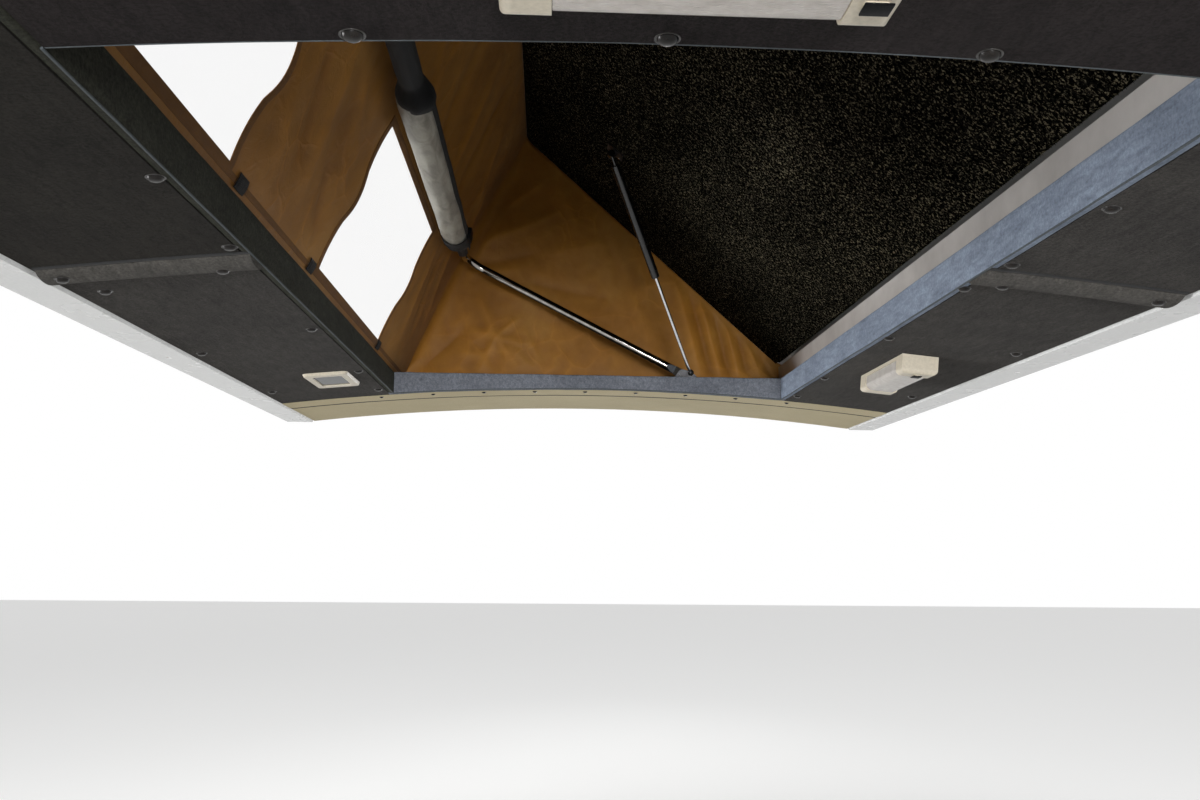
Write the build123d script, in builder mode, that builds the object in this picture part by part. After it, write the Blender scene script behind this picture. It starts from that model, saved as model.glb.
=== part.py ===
# Elevating roof of a camper van: a section of the van's roof panel and ceiling, the moulded frame round
# its opening, and a lid that is hinged along one side and stands raised over canvas walls, with the
# hoop that spreads the canvas and the gas struts that lift the lid.
# +X is the hinge side, +Y the cab and +Z up. The origin is the middle of the corner holes in the
# bolting flanges, at their underside. Sizes are in millimetres and angles in degrees.
# The lid and the hoop are drawn lying closed, then turned up about their pivots.
import os
from math import atan, cos, degrees, radians, sin, sqrt

from build123d import *

os.makedirs("parts", exist_ok=True)

# Gaps between pieces
fit = 0.3  # where one piece is fastened to another
bed = 0.2  # the sealant between two curved sheets
far = 200.0  # how far a cutting block runs past what it cuts

# Roof panel of the van
crown_radius = 6000.0  # of the roof, across the van
roof_top = 70.0  # height of the panel on the centreline
roof_gauge = 2.0
roof_half_length = 1430.0
shoulder_x = 722.0
shoulder_round = 14.0
web_lean = 14.0  # how far a side web runs out between shoulder and flange
flange_width = 64.0
bolt_inset = 30.0  # from the flange's edge
bolt_end_inset = 80.0
bolt_hole_radius = 4.5

# Lined opening
opening_half_width = 462.5
opening_half_length = 1055.0
side_board = 12.0
end_board = 25.0
rim_rise = 10.0  # of the lining's top over the roof panel
shelf_gauge = 5.5
board_round = 4.0
cut_clearance = 1.5  # from a lining board to the inner edge of the moulded frame
panel_cut_back = 10.0  # of the roof panel's cut edge, behind the frame's inner edge
cut_corner = 4.0

# Ceiling
ceiling_depth = 22.2  # from the top of the roof panel down to the ceiling's face
panel_gauge = 3.0
header_gauge = 5.0
header_reach = 365.0  # how far the header board comes into the opening
ceiling_web_gap = 8.0
panel_joint_y = -116.0
panel_joint_gap = 4.0
strip_width = 62.0
strip_gauge = 2.5
strip_inner_inset = 1.5
strip_outer_inset = 4.0
front_strip_width = 89.0
bow_width = 40.0
bow_end_inset = 5.0
bow_side_inset = 10.0
bow_wall = 1.5
bow_bed = 0.5  # of foam tape between a bow and the board under it

# Moulded base frame
mould_gauge = 4.0
side_upstand_rise = 3.0  # over the lining's top
end_upstand_rise = 20.0
end_shelf = 192.0  # from an end board to the outside of the frame
kerb_shelf = 30.5  # from the side board to the kerb
kerb_width = 39.8
kerb_rise = 15.0  # over the hinge line
kerb_seal_width = 16.0
kerb_seal_height = 7.0
kerb_seal_round = 4.9
kerb_seal_inset = 12.0
flange_margin = 17.0  # past the lid's sides
flange_end_margin = 25.0
frame_corner = 60.0

# Lid
lid_angle = 42.0
hinge_rise = 50.0  # of the hinge line over the lining's top
board_rise = 33.0  # of the closed lid's board over the lining's top
board_gauge = 10.0
lid_hollow = 57.0  # between board and shell, in the middle
lid_overhang = 65.0  # past the frame on the side that opens
lid_crown_radius = 8000.0
lid_corner = 45.0
lid_edge_round = 16.0
lid_end_gap = 34.0  # from the end of the frame to the inside of the lid's skirt
lid_seal_height = 8.0
lid_seal_width = 9.0
skirt_return = 20.0  # length of full skirt left at each end of the hinge side
board_inset = 148.0  # from the lid's free edge to the board
board_kerb_gap = 10.0
rib_width = 36.0
rib_inset = 20.0
rib_pitch = 590.0
rib_count = 5

# Hinges
knuckle_radius = 5.0
pin_radius = 2.5
pin_clearance = 0.08
leaf_gauge = 2.0
leaf_height = 30.0
lid_leaf_height = 17.0
hinge_length = 240.0
hinge_gap = 0.5
hinge_pitch = 1000.0
hinge_count = 3

# Hoop
pivot_x = 230.0
pivot_rise = 16.0  # over the lining's top
hoop_angle = 27.2
hoop_reach = 605.0
hoop_tube_radius = 10.0
hoop_side_gap = 56.0  # from the opening's end to the middle of an arm
hoop_bend = 55.0
eye_gauge = 5.0
eye_radius = 10.5
eye_root = 22.0  # length over which the tube is pressed flat
pivot_pin_radius = 4.0
pivot_clearance = 0.1
sleeve_radius = 22.0
roll_radius = 30.0
roll_top_gap = 5.0  # under the closed lid's board
roll_inner_y = 220.0
roll_outer_y = 850.0
boot_length = 195.0
boot_radius = 12.0  # at the narrow end
boot_overrun = 6.0  # by which the leaning cone runs past both its ends before it is trimmed

# Brackets and struts
bracket_gauge = 3.0
bracket_plate = 3.0
bracket_ear_radius = 10.5
strut_ear_radius = 8.0
bracket_foot = 31.0  # half the length of the ears' foot
bracket_plate_inner = 10.0  # from the ears' outside
bracket_plate_outer = 26.0
bracket_plate_ends = (34.0, 22.0)  # past the hoop's pivot and past the strut's ball
bolt_head_radius = 7.5
bolt_head_gauge = 3.0
nut_gauge = 2.5
ball_radius = 5.0
stud_radius = 2.5
stud_length = 11.0
strut_foot_offset = 18.0  # from the hoop's pivot to the strut's lower ball
strut_mount_x = -112.0  # on the closed lid
strut_mount_y = 835.0
strut_mount_drop = 16.0
mount_ear_radius = 7.0
mount_foot = 10.0
mount_plate_half = 22.0
mount_plate_inner = 14.0
mount_plate_outer = 20.0
cylinder_radius = 10.0
cylinder_length = 279.5
cylinder_start = 26.5
cylinder_chamfer = 1.5
cylinder_head = 14.0  # solid end of the tube
rod_radius = 4.0
rod_clearance = 0.1
rod_hidden = 60.0  # length of rod inside the cylinder with the lid up
shank_radius = 4.0
socket_radius = 8.0
socket_floor = 7.0  # from the ball's middle to the socket's closed end
socket_mouth = 5.5  # and to its open end
socket_clearance = 0.3
eye_clearance = 0.6  # round the lower ball
# The lower socket is open to one side: where the ball lies part way, as seen from the socket, across and up
eye_path = ((-18.0, 1.5), (-18.0, 8.5))

# Canvas
canvas_gauge = 2.0
canvas_rise = 1.0  # over the upstand, where the side wall turns inward
canvas_hoop_gap = 8.5  # from the blind rolls
canvas_hem = 23.0  # below the upstand's top
canvas_end_hem = 22.0
canvas_kerb_inset = 16.0
clamp_gauge = 2.0
clamp_height = 18.0
clamp_end_inset = 20.0
clamp_upstand_inset = 10.0
clamp_kerb_inset = 30.0
window_low = 31.0  # along the wall, from where it turns inward
window_middle_y = 535.0
window_length = 597.0
window_wave = ((90.0, -8.0), (90.0, 20.0), (89.0, -8.0))  # height of each arc, how far it bows forward
pane_gauge = 1.0
pane_gap = 0.8

# Lamps
lamp_length = 255.0
lamp_width = 66.0
lamp_depth = 34.0
lamp_base = 6.0
lamp_cap = 34.0
lamp_round = 9.0
lens_round = 12.0
lens_wall = 2.0
switch_length = 16.0
switch_width = 9.6
switch_round = 2.0
switch_depth = 2.5
switch_offset = 1.0  # from the middle of the cap
spot_x = -555.0
spot_y = 800.0
spot_size = (92.0, 165.0)
spot_round = 12.0
spot_depth = 6.0
spot_taper = 24.0
spot_floor = 1.5
glass_size = (58.0, 116.0)
glass_round = 6.0
glass_gauge = 2.0
glass_gap = 1.3
glass_taper = 10.0

# Heights that follow from the ones above
ceiling_height = roof_top - ceiling_depth
rim_top = roof_top + rim_rise
side_upstand_top = rim_top + side_upstand_rise
end_upstand_top = rim_top + end_upstand_rise
frame_foot = roof_top + bed
frame_top = frame_foot + mould_gauge
hinge_z = rim_top + hinge_rise
kerb_top = hinge_z + kerb_rise
board_low = rim_top + board_rise
board_top = board_low + board_gauge
lid_top = board_top + lid_hollow + mould_gauge
lid_foot = frame_top + lid_seal_height + 2 * fit
pivot_z = rim_top + pivot_rise

# Places across the van
web_foot_x = shoulder_x + web_lean
flange_x = web_foot_x + flange_width
bolt_x = flange_x - bolt_inset
liner_outer_x = opening_half_width + side_board
cut_x = liner_outer_x + cut_clearance
ceiling_half_width = web_foot_x - ceiling_web_gap
upstand_outer_x = cut_x + mould_gauge
kerb_inner_x = liner_outer_x + kerb_shelf
kerb_outer_x = kerb_inner_x + kerb_width
kerb_middle_x = (kerb_inner_x + kerb_outer_x) / 2
hinge_x = kerb_outer_x + bed + knuckle_radius
lid_left = -upstand_outer_x - lid_overhang
lid_right = hinge_x + knuckle_radius + fit + mould_gauge
lid_middle = (lid_left + lid_right) / 2
lid_width = lid_right - lid_left
board_left = lid_left + board_inset
board_right = kerb_inner_x - board_kerb_gap
hoop_bar_x = pivot_x - hoop_reach

# Places along the van
bolt_y = roof_half_length - bolt_end_inset
middle_bolt_y = bolt_y / 3
end_board_outer_y = opening_half_length + end_board
cut_y = end_board_outer_y + cut_clearance
header_edge_y = header_reach - opening_half_length
front_strip_edge_y = end_board_outer_y + front_strip_width
frame_half_length = end_board_outer_y + end_shelf
lid_half_length = frame_half_length + lid_end_gap + mould_gauge
hoop_plane_y = opening_half_length + hoop_side_gap
ear_outer_y = hoop_plane_y - eye_gauge / 2 - fit
end_wall_y = frame_half_length + fit

lid_axis = Axis((hinge_x, 0, hinge_z), (0, 1, 0))
hoop_axis = Axis((pivot_x, 0, pivot_z), (0, 1, 0))


def crown(height, x):
    """Height at x of a surface that follows the roof's crown and is `height` high on the centreline."""
    radius = crown_radius + height - roof_top
    return height - radius + sqrt(radius * radius - x * x)


def crowned_block(underside, gauge, half_width, y_low, y_high):
    """A sheet of even thickness that follows the roof's crown."""
    top = underside + gauge
    with BuildPart() as block:
        with BuildSketch(Plane.XZ.offset(-y_low)):
            with BuildLine():
                low_end = (-half_width, crown(underside, half_width))
                high_end = (half_width, crown(top, half_width))
                low = ThreePointArc(low_end, (0, underside), (half_width, low_end[1]))
                high = ThreePointArc(high_end, (0, top), (-half_width, high_end[1]))
                Line(low @ 1, high @ 0)
                Line(high @ 1, low @ 0)
            make_face()
        extrude(amount=y_low - y_high)
    return block.part


def below_crown(height, half_length):
    """Everything under a surface that follows the roof's crown, for trimming what stands on it."""
    return crowned_block(height - far, far, shoulder_x, -half_length - far, half_length + far)


def slab(x, y, z, mode=Mode.ADD):
    """A flat board between the two values given for each axis."""
    with Locations(tuple((low + high) / 2 for low, high in (x, y, z))):
        Box(abs(x[1] - x[0]), abs(y[1] - y[0]), abs(z[1] - z[0]), mode=mode)


def save(part, name):
    """Label a finished piece and write it."""
    part.label = name
    export_step(part, f"parts/{name}.step")


def raised(part):
    """The lid's piece, turned up from where it lies closed."""
    return part.rotate(lid_axis, lid_angle)


def lifted(part):
    """The hoop's piece, turned up from where it lies closed."""
    return part.rotate(hoop_axis, hoop_angle)


def turned(x, z, pivot, angle):
    """Where a point seen along Y comes to when it turns up about a pivot."""
    across, up = x - pivot.position.X, z - pivot.position.Z
    turn = radians(angle)
    return Vector(
        pivot.position.X + across * cos(turn) + up * sin(turn),
        pivot.position.Z - across * sin(turn) + up * cos(turn),
    )


# Roof panel of the van, with its shoulders, side webs and bolting flanges
with BuildPart() as roof_skin:
    with BuildSketch(Plane.XZ) as roof_section:
        with BuildLine():
            inner_shoulder_x = shoulder_x - roof_gauge
            inner_top = roof_top - roof_gauge
            outer_arc = ThreePointArc(
                (0, roof_top),
                (shoulder_x / 2, crown(roof_top, shoulder_x / 2)),
                (shoulder_x, crown(roof_top, shoulder_x)),
            )
            inner_arc = ThreePointArc(
                (inner_shoulder_x, crown(inner_top, inner_shoulder_x)),
                (inner_shoulder_x / 2, crown(inner_top, inner_shoulder_x / 2)),
                (0, inner_top),
            )
            Polyline(
                outer_arc @ 1,
                (web_foot_x, roof_gauge),
                (flange_x, roof_gauge),
                (flange_x, 0),
                (web_foot_x - roof_gauge, 0),
                inner_arc @ 0,
            )
            Line(inner_arc @ 1, outer_arc @ 0)
        make_face()
        mirror(about=Plane.YZ)
        corners = roof_section.vertices().filter_by(lambda v: abs(abs(v.X) - shoulder_x) < roof_gauge / 2)
        fillet(corners, radius=shoulder_round)
    extrude(amount=roof_half_length, both=True)
    with BuildSketch():
        RectangleRounded(2 * (cut_x + panel_cut_back), 2 * (cut_y + panel_cut_back), cut_corner)
    extrude(amount=roof_top + far, mode=Mode.SUBTRACT)
    for half_pitch in (bolt_y, middle_bolt_y):
        with GridLocations(2 * bolt_x, 2 * half_pitch, 2, 2):
            Hole(bolt_hole_radius)
save(roof_skin.part, "roof_skin")


# Bows that carry the ceiling at the section's ends, each an open channel under the panel
bow_low = ceiling_height + header_gauge + bow_bed
bow_gauge = roof_top - roof_gauge - fit - bow_low
bow_half_width = shoulder_x - bow_side_inset
bow_outer_y = roof_half_length - bow_end_inset
bows = (
    ("bow_front", bow_outer_y - bow_width, bow_outer_y),
    ("bow_rear", -bow_outer_y, bow_width - bow_outer_y),
)
for name, y_low, y_high in bows:
    with BuildPart() as bow:
        add(crowned_block(bow_low, bow_gauge, bow_half_width, y_low, y_high))
        hollow_y = (y_low + bow_wall, y_high - bow_wall)
        add(crowned_block(bow_low + bow_wall, bow_gauge, bow_half_width, *hollow_y), mode=Mode.SUBTRACT)
    save(bow.part, name)


# Moulded base frame: a flange bedded on the roof panel, an upstand on three sides and a hollow kerb
# for the hinges on the fourth
with BuildPart() as frame_flange:
    add(crowned_block(frame_foot, mould_gauge, shoulder_x, -lid_half_length - far, lid_half_length + far))
    with BuildSketch():
        with Locations((lid_middle, 0)):
            flange_size = (lid_width + 2 * flange_margin, 2 * (lid_half_length + flange_end_margin))
            RectangleRounded(*flange_size, frame_corner)
        RectangleRounded(2 * cut_x, 2 * cut_y, cut_corner, mode=Mode.SUBTRACT)
    extrude(amount=roof_top + far, mode=Mode.INTERSECT)

with BuildPart() as base_frame:
    frame_y = (-frame_half_length, frame_half_length)
    slab((-upstand_outer_x, mould_gauge - upstand_outer_x), frame_y, (0, side_upstand_top))
    with BuildSketch(Plane.XZ):
        with Locations((kerb_middle_x, kerb_top / 2)):
            Rectangle(kerb_width, kerb_top)
        with Locations((kerb_middle_x, kerb_top / 2 - mould_gauge)):
            Rectangle(kerb_width - 2 * mould_gauge, kerb_top, mode=Mode.SUBTRACT)
    extrude(amount=frame_half_length, both=True)
    for y in (-frame_half_length, frame_half_length - mould_gauge):
        with BuildSketch(Plane.XZ.offset(-y)):
            with BuildLine():
                Polyline(
                    (-upstand_outer_x, 0),
                    (-upstand_outer_x, side_upstand_top),
                    (3 * mould_gauge - upstand_outer_x, end_upstand_top),
                    (kerb_inner_x, end_upstand_top),
                    (kerb_inner_x, kerb_top),
                    (kerb_outer_x, kerb_top),
                    (kerb_outer_x, 0),
                    close=True,
                )
            make_face()
        extrude(amount=-mould_gauge)
    add(below_crown(frame_foot + mould_gauge / 2, frame_half_length), mode=Mode.SUBTRACT)
    add(frame_flange.part)
save(base_frame.part, "base_frame")


# Padded boards that line the opening: one on the left, one with a shelf to the kerb on the right
rim_foot = crown(ceiling_height, opening_half_width)
with BuildPart() as rim_left:
    with BuildSketch(Plane.XZ) as left_section:
        with Locations((-opening_half_width - side_board / 2, (rim_foot + rim_top) / 2)):
            Rectangle(side_board, rim_top - rim_foot)
        fillet(left_section.vertices().group_by(Axis.Y)[-1], radius=board_round)
    extrude(amount=opening_half_length - fit, both=True)
save(rim_left.part, "rim_left")

with BuildPart() as rim_right:
    with BuildSketch(Plane.XZ) as right_section:
        with BuildLine():
            Polyline(
                (opening_half_width, rim_foot),
                (liner_outer_x, rim_foot),
                (liner_outer_x, rim_top - shelf_gauge),
                (kerb_inner_x - fit, rim_top - shelf_gauge),
                (kerb_inner_x - fit, rim_top),
                (opening_half_width, rim_top),
                close=True,
            )
        make_face()
        fillet(right_section.vertices().group_by(Axis.Y)[-1].sort_by(Axis.X)[0], radius=board_round)
    extrude(amount=opening_half_length - fit, both=True)
save(rim_right.part, "rim_right")

# Boards across the opening's ends, each with an arched foot and a shelf behind: name, foot, side
end_rims = (
    ("rim_front", ceiling_height, 1),
    ("rim_rear", ceiling_height + header_gauge + fit, -1),
)
for name, foot_height, sign in end_rims:
    with BuildPart() as end_rim:
        with BuildSketch(Plane.XZ.offset(-sign * opening_half_length)):
            with BuildLine():
                foot_end = (liner_outer_x, crown(foot_height, liner_outer_x))
                foot_arc = ThreePointArc((-liner_outer_x, foot_end[1]), (0, foot_height), foot_end)
                Polyline(foot_arc @ 1, (liner_outer_x, rim_top), (-liner_outer_x, rim_top), foot_arc @ 0)
            make_face()
        extrude(amount=-sign * end_board)
        shelf_x = (-cut_x + fit, kerb_inner_x - fit)
        shelf_y = (sign * end_board_outer_y, sign * (frame_half_length - mould_gauge - fit))
        slab(shelf_x, shelf_y, (rim_top - shelf_gauge, rim_top))
        top_edges = end_rim.edges().filter_by(Axis.X).group_by(Axis.Z)[-1]
        fillet(top_edges.sort_by(Axis.Y)[0 if sign > 0 else -1], radius=board_round)
    save(end_rim.part, name)


# Ceiling panels beside the opening: name, inner and outer x, low and high y
panel_inner_x = liner_outer_x + fit
joint_rear = panel_joint_y - panel_joint_gap / 2
joint_front = panel_joint_y + panel_joint_gap / 2
side_panels = (
    ("ceiling_left_rear", -ceiling_half_width, -panel_inner_x, -roof_half_length, joint_rear),
    ("ceiling_left_front", -ceiling_half_width, -panel_inner_x, joint_front, end_board_outer_y),
    ("ceiling_right_rear", panel_inner_x, ceiling_half_width, -roof_half_length, joint_rear),
    ("ceiling_right_front", panel_inner_x, ceiling_half_width, joint_front, end_board_outer_y),
)
for name, x_low, x_high, y_low, y_high in side_panels:
    with BuildPart() as panel:
        add(crowned_block(ceiling_height, panel_gauge, ceiling_half_width, y_low, y_high))
        slab((x_low, x_high), (y_low, y_high), (-far, far), mode=Mode.INTERSECT)
    save(panel.part, name)

# Strips over the joints of the side panels
strip_inner_x = opening_half_width + strip_inner_inset
strip_outer_x = ceiling_half_width - strip_outer_inset
strip_y = (panel_joint_y - strip_width / 2, panel_joint_y + strip_width / 2)
for name, sign in (("strip_left", -1), ("strip_right", 1)):
    with BuildPart() as strip:
        add(crowned_block(ceiling_height - bed - strip_gauge, strip_gauge, strip_outer_x, *strip_y))
        slab((sign * strip_inner_x, sign * strip_outer_x), strip_y, (-far, far), mode=Mode.INTERSECT)
    save(strip.part, name)

# Ceiling across the van in front of the opening: name, thickness, low and high y
front_panels = (
    ("strip_front", panel_gauge, end_board_outer_y + fit, front_strip_edge_y),
    ("ceiling_front", header_gauge, front_strip_edge_y + fit, roof_half_length),
)
for name, gauge, y_low, y_high in front_panels:
    save(crowned_block(ceiling_height, gauge, ceiling_half_width, y_low, y_high), name)

# The header board closes the rear of the opening at ceiling level and runs on to the section's end
with BuildPart() as ceiling_rear:
    add(crowned_block(ceiling_height, header_gauge, liner_outer_x, -roof_half_length, header_edge_y))
    with BuildSketch(Plane.XY.offset(-far)):
        with Locations((0, (header_edge_y - roof_half_length) / 2)):
            Rectangle(2 * (opening_half_width - fit), roof_half_length + header_edge_y)
        with Locations((0, -(opening_half_length + roof_half_length) / 2)):
            Rectangle(2 * liner_outer_x, roof_half_length - opening_half_length)
    extrude(amount=2 * far, mode=Mode.INTERSECT)
save(ceiling_rear.part, "ceiling_rear")


def ceiling_plane(x, y, turn=0.0):
    """A plane on the ceiling's face that looks down into the van, its x axis turned from across the van."""
    radius = crown_radius + ceiling_height - roof_top
    down = Vector(-x / radius, 0, -sqrt(1 - (x / radius) ** 2))
    along = Vector(cos(radians(turn)), sin(radians(turn)), 0)
    level = along - down * along.dot(down)
    return Plane(origin=(x, y, crown(ceiling_height, x)), x_dir=level.normalized(), z_dir=down)


# Flush lamp in the left front panel: a bezel that frames a dark glass
spot_plane = ceiling_plane(spot_x, spot_y)
with BuildPart() as spot_lamp:
    with BuildSketch(spot_plane.offset(fit)):
        RectangleRounded(*spot_size, spot_round)
    extrude(amount=spot_depth, taper=spot_taper)
    with BuildSketch(spot_plane.offset(spot_depth + fit)):
        mouth = [side + 2 * glass_gap for side in glass_size]
        RectangleRounded(*mouth, glass_round + glass_gap)
    extrude(amount=spot_floor - spot_depth, taper=glass_taper, mode=Mode.SUBTRACT)
save(spot_lamp.part, "spot_lamp")

with BuildPart() as spot_lamp_glass:
    with BuildSketch(spot_plane.offset(spot_floor + 2 * fit)):
        RectangleRounded(*glass_size, glass_round)
    extrude(amount=glass_gauge)
save(spot_lamp_glass.part, "spot_lamp_glass")


# Tube lamps, one along the right side panel and one across the header board: name, x, y, turn
lamps = (
    ("side_lamp", 572.0, 530.0, 90.0),
    ("rear_lamp", 0.0, -820.0, 180.0),
)
for name, lamp_x, lamp_y, turn in lamps:
    half_across = max(lamp_length * abs(cos(radians(turn))), lamp_width) / 2
    sagitta = half_across**2 / (2 * crown_radius)
    lamp_plane = ceiling_plane(lamp_x, lamp_y, turn).offset(fit + sagitta)
    depth_axis = Axis(lamp_plane.origin, lamp_plane.z_dir)
    half_window = lamp_length / 2 - lamp_cap
    with BuildPart() as lamp:
        with BuildSketch(lamp_plane):
            Rectangle(lamp_length, lamp_width)
        extrude(amount=lamp_depth)
        fillet(lamp.faces().sort_by(depth_axis)[-1].edges(), radius=lamp_round)
        with BuildSketch(lamp_plane.offset(lamp_base)):
            Rectangle(2 * half_window, 2 * lamp_width)
        extrude(amount=lamp_depth, mode=Mode.SUBTRACT)
        with BuildSketch(lamp_plane.offset(lamp_depth)):
            with Locations((switch_offset - half_window - lamp_cap / 2, 0)):
                RectangleRounded(switch_length, switch_width, switch_round)
        extrude(amount=switch_depth)
    save(lamp.part, name)
    with BuildPart() as lens:
        lens_size = (2 * (half_window - fit), lamp_width - 2 * lens_wall)
        with BuildSketch(lamp_plane.offset(lamp_base + fit)):
            Rectangle(*lens_size)
        extrude(amount=lamp_depth - lamp_base - lens_wall)
        long_edges = lens.edges().filter_by(lambda edge: abs(edge.length - lens_size[0]) < fit)
        fillet(long_edges.sort_by(depth_axis)[-2:], radius=lens_round)
        offset(amount=-lens_wall, openings=lens.faces().sort_by(depth_axis)[0])
    save(lens.part, name + "_lens")


# Lid shell: a crowned tray, its foot trimmed to the roof's crown and cut away over the hinges
with BuildPart() as lid_shell:
    with BuildSketch():
        with Locations((lid_middle, 0)):
            RectangleRounded(lid_width, 2 * lid_half_length, lid_corner)
    extrude(amount=lid_top)
    with BuildSketch(Plane.XZ):
        with Locations((lid_middle, lid_top - lid_crown_radius)):
            Circle(lid_crown_radius)
    extrude(amount=lid_half_length + far, both=True, mode=Mode.INTERSECT)
    fillet(lid_shell.faces().sort_by(Axis.Z)[-1].edges(), radius=lid_edge_round)
    offset(amount=-mould_gauge, openings=lid_shell.faces().sort_by(Axis.Z)[0])
    add(below_crown(lid_foot, lid_half_length), mode=Mode.SUBTRACT)
    skirt_cut = lid_half_length - skirt_return
    skirt_x = (kerb_outer_x, lid_right + far)
    slab(skirt_x, (-skirt_cut, skirt_cut), (0, hinge_z - pin_radius), mode=Mode.SUBTRACT)
save(raised(lid_shell.part), "lid_shell")


# Lid board: the carpeted panel under the shell, with the ribs that space it off the shell
with BuildPart() as lid_board:
    board_y = (-frame_half_length, frame_half_length)
    slab((board_left, board_right), board_y, (board_low, board_top))
    rib_size = (board_right - board_left - 2 * rib_inset, rib_width, lid_top - board_top)
    with Locations(((board_left + board_right) / 2, 0, (board_top + lid_top) / 2)):
        with GridLocations(0, rib_pitch, 1, rib_count):
            Box(*rib_size)
    with BuildSketch(Plane.XZ):
        with Locations((lid_middle, lid_top - lid_crown_radius)):
            Circle(lid_crown_radius - mould_gauge - fit)
    extrude(amount=lid_half_length, both=True, mode=Mode.INTERSECT)
save(raised(lid_board.part), "lid_board")


# Weather seal under the lid's skirt, and the bulb seal on the kerb
with BuildPart() as lid_seal:
    add(crowned_block(frame_top + fit, lid_seal_height, shoulder_x, -lid_half_length, lid_half_length))
    with BuildSketch():
        with Locations((lid_middle, 0)):
            RectangleRounded(lid_width, 2 * lid_half_length, lid_corner)
            inside = (lid_width - 2 * lid_seal_width, 2 * (lid_half_length - lid_seal_width))
            RectangleRounded(*inside, lid_corner - lid_seal_width, mode=Mode.SUBTRACT)
        with Locations((lid_right, 0)):
            Rectangle(2 * (lid_right - kerb_inner_x), 2 * lid_half_length, mode=Mode.SUBTRACT)
    extrude(amount=lid_top, mode=Mode.INTERSECT)
save(raised(lid_seal.part), "lid_seal")

with BuildPart() as kerb_seal:
    with BuildSketch(Plane.XZ) as bulb_section:
        with Locations((kerb_middle_x, kerb_top + bed + kerb_seal_height / 2)):
            Rectangle(kerb_seal_width, kerb_seal_height)
        fillet(bulb_section.vertices().group_by(Axis.Y)[-1], radius=kerb_seal_round)
    extrude(amount=frame_half_length - kerb_seal_inset, both=True)
save(kerb_seal.part, "kerb_seal")


def knuckle(y_low, y_high, radius, mode=Mode.ADD):
    """A round along the lid's hinge line."""
    with BuildSketch(Plane.XZ.offset(-y_low)) as disc:
        with Locations((hinge_x, hinge_z)):
            Circle(radius)
    extrude(disc.sketch, amount=y_low - y_high, mode=mode)


# Butt hinges along the kerb. The base leaves carry the outer knuckles and the pins.
hinge_places = [hinge_pitch * (index - (hinge_count - 1) / 2) for index in range(hinge_count)]
half_hinge = hinge_length / 2
half_third = hinge_length / 6
with BuildPart() as hinge_base:
    leaf_x = (hinge_x - knuckle_radius, hinge_x - knuckle_radius + leaf_gauge)
    for y in hinge_places:
        slab(leaf_x, (y - half_hinge, y + half_hinge), (hinge_z - leaf_height, hinge_z))
        recess = (hinge_z - knuckle_radius - hinge_gap, hinge_z)
        slab(leaf_x, (y - half_third, y + half_third), recess, mode=Mode.SUBTRACT)
        knuckle(y - half_hinge, y - half_third, knuckle_radius)
        knuckle(y + half_third, y + half_hinge, knuckle_radius)
        knuckle(y - half_third, y + half_third, pin_radius)
save(hinge_base.part, "hinge_base")

with BuildPart() as hinge_lid:
    leaf_x = (hinge_x + knuckle_radius - leaf_gauge, hinge_x + knuckle_radius)
    for y in hinge_places:
        inner = half_third - hinge_gap
        slab(leaf_x, (y - half_hinge, y + half_hinge), (hinge_z, hinge_z + lid_leaf_height))
        recess = (hinge_z, hinge_z + knuckle_radius + hinge_gap)
        slab(leaf_x, (y - half_hinge, y - inner), recess, mode=Mode.SUBTRACT)
        slab(leaf_x, (y + inner, y + half_hinge), recess, mode=Mode.SUBTRACT)
        knuckle(y - inner, y + inner, knuckle_radius)
        knuckle(y - half_third, y + half_third, pin_radius + pin_clearance, mode=Mode.SUBTRACT)
save(raised(hinge_lid.part), "hinge_lid")


# Hoop: a bent tube whose ends are pressed flat and turn on the brackets
with BuildPart() as hoop_tube:
    tube_start_x = pivot_x - 2 * eye_radius
    with BuildLine(Plane.XY.offset(pivot_z)) as hoop_path:
        FilletPolyline(
            (tube_start_x, hoop_plane_y),
            (hoop_bar_x, hoop_plane_y),
            (hoop_bar_x, -hoop_plane_y),
            (tube_start_x, -hoop_plane_y),
            radius=hoop_bend,
        )
    with BuildSketch(Plane(origin=hoop_path.line @ 0, z_dir=hoop_path.line % 0)):
        Circle(hoop_tube_radius)
    sweep(path=hoop_path.line)
    for arm_y in (-hoop_plane_y, hoop_plane_y):
        with BuildSketch(Plane.XY.offset(pivot_z)):
            for side in (-1, 1):
                with BuildLine():
                    Polyline(
                        (tube_start_x - eye_root, arm_y + side * hoop_tube_radius),
                        (tube_start_x, arm_y + side * eye_gauge / 2),
                        (tube_start_x, arm_y + side * hoop_tube_radius),
                        close=True,
                    )
                make_face()
        extrude(amount=hoop_tube_radius, both=True, mode=Mode.SUBTRACT)
        with BuildSketch(Plane.XZ.offset(-arm_y)):
            with Locations((pivot_x, pivot_z)):
                Circle(eye_radius)
            with Locations((pivot_x - eye_radius, pivot_z)):
                Rectangle(2 * eye_radius, 2 * eye_radius)
            with Locations((pivot_x, pivot_z)):
                Circle(pivot_pin_radius + pivot_clearance, mode=Mode.SUBTRACT)
        extrude(amount=eye_gauge / 2, both=True)
save(lifted(hoop_tube.part), "hoop_tube")

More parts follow.
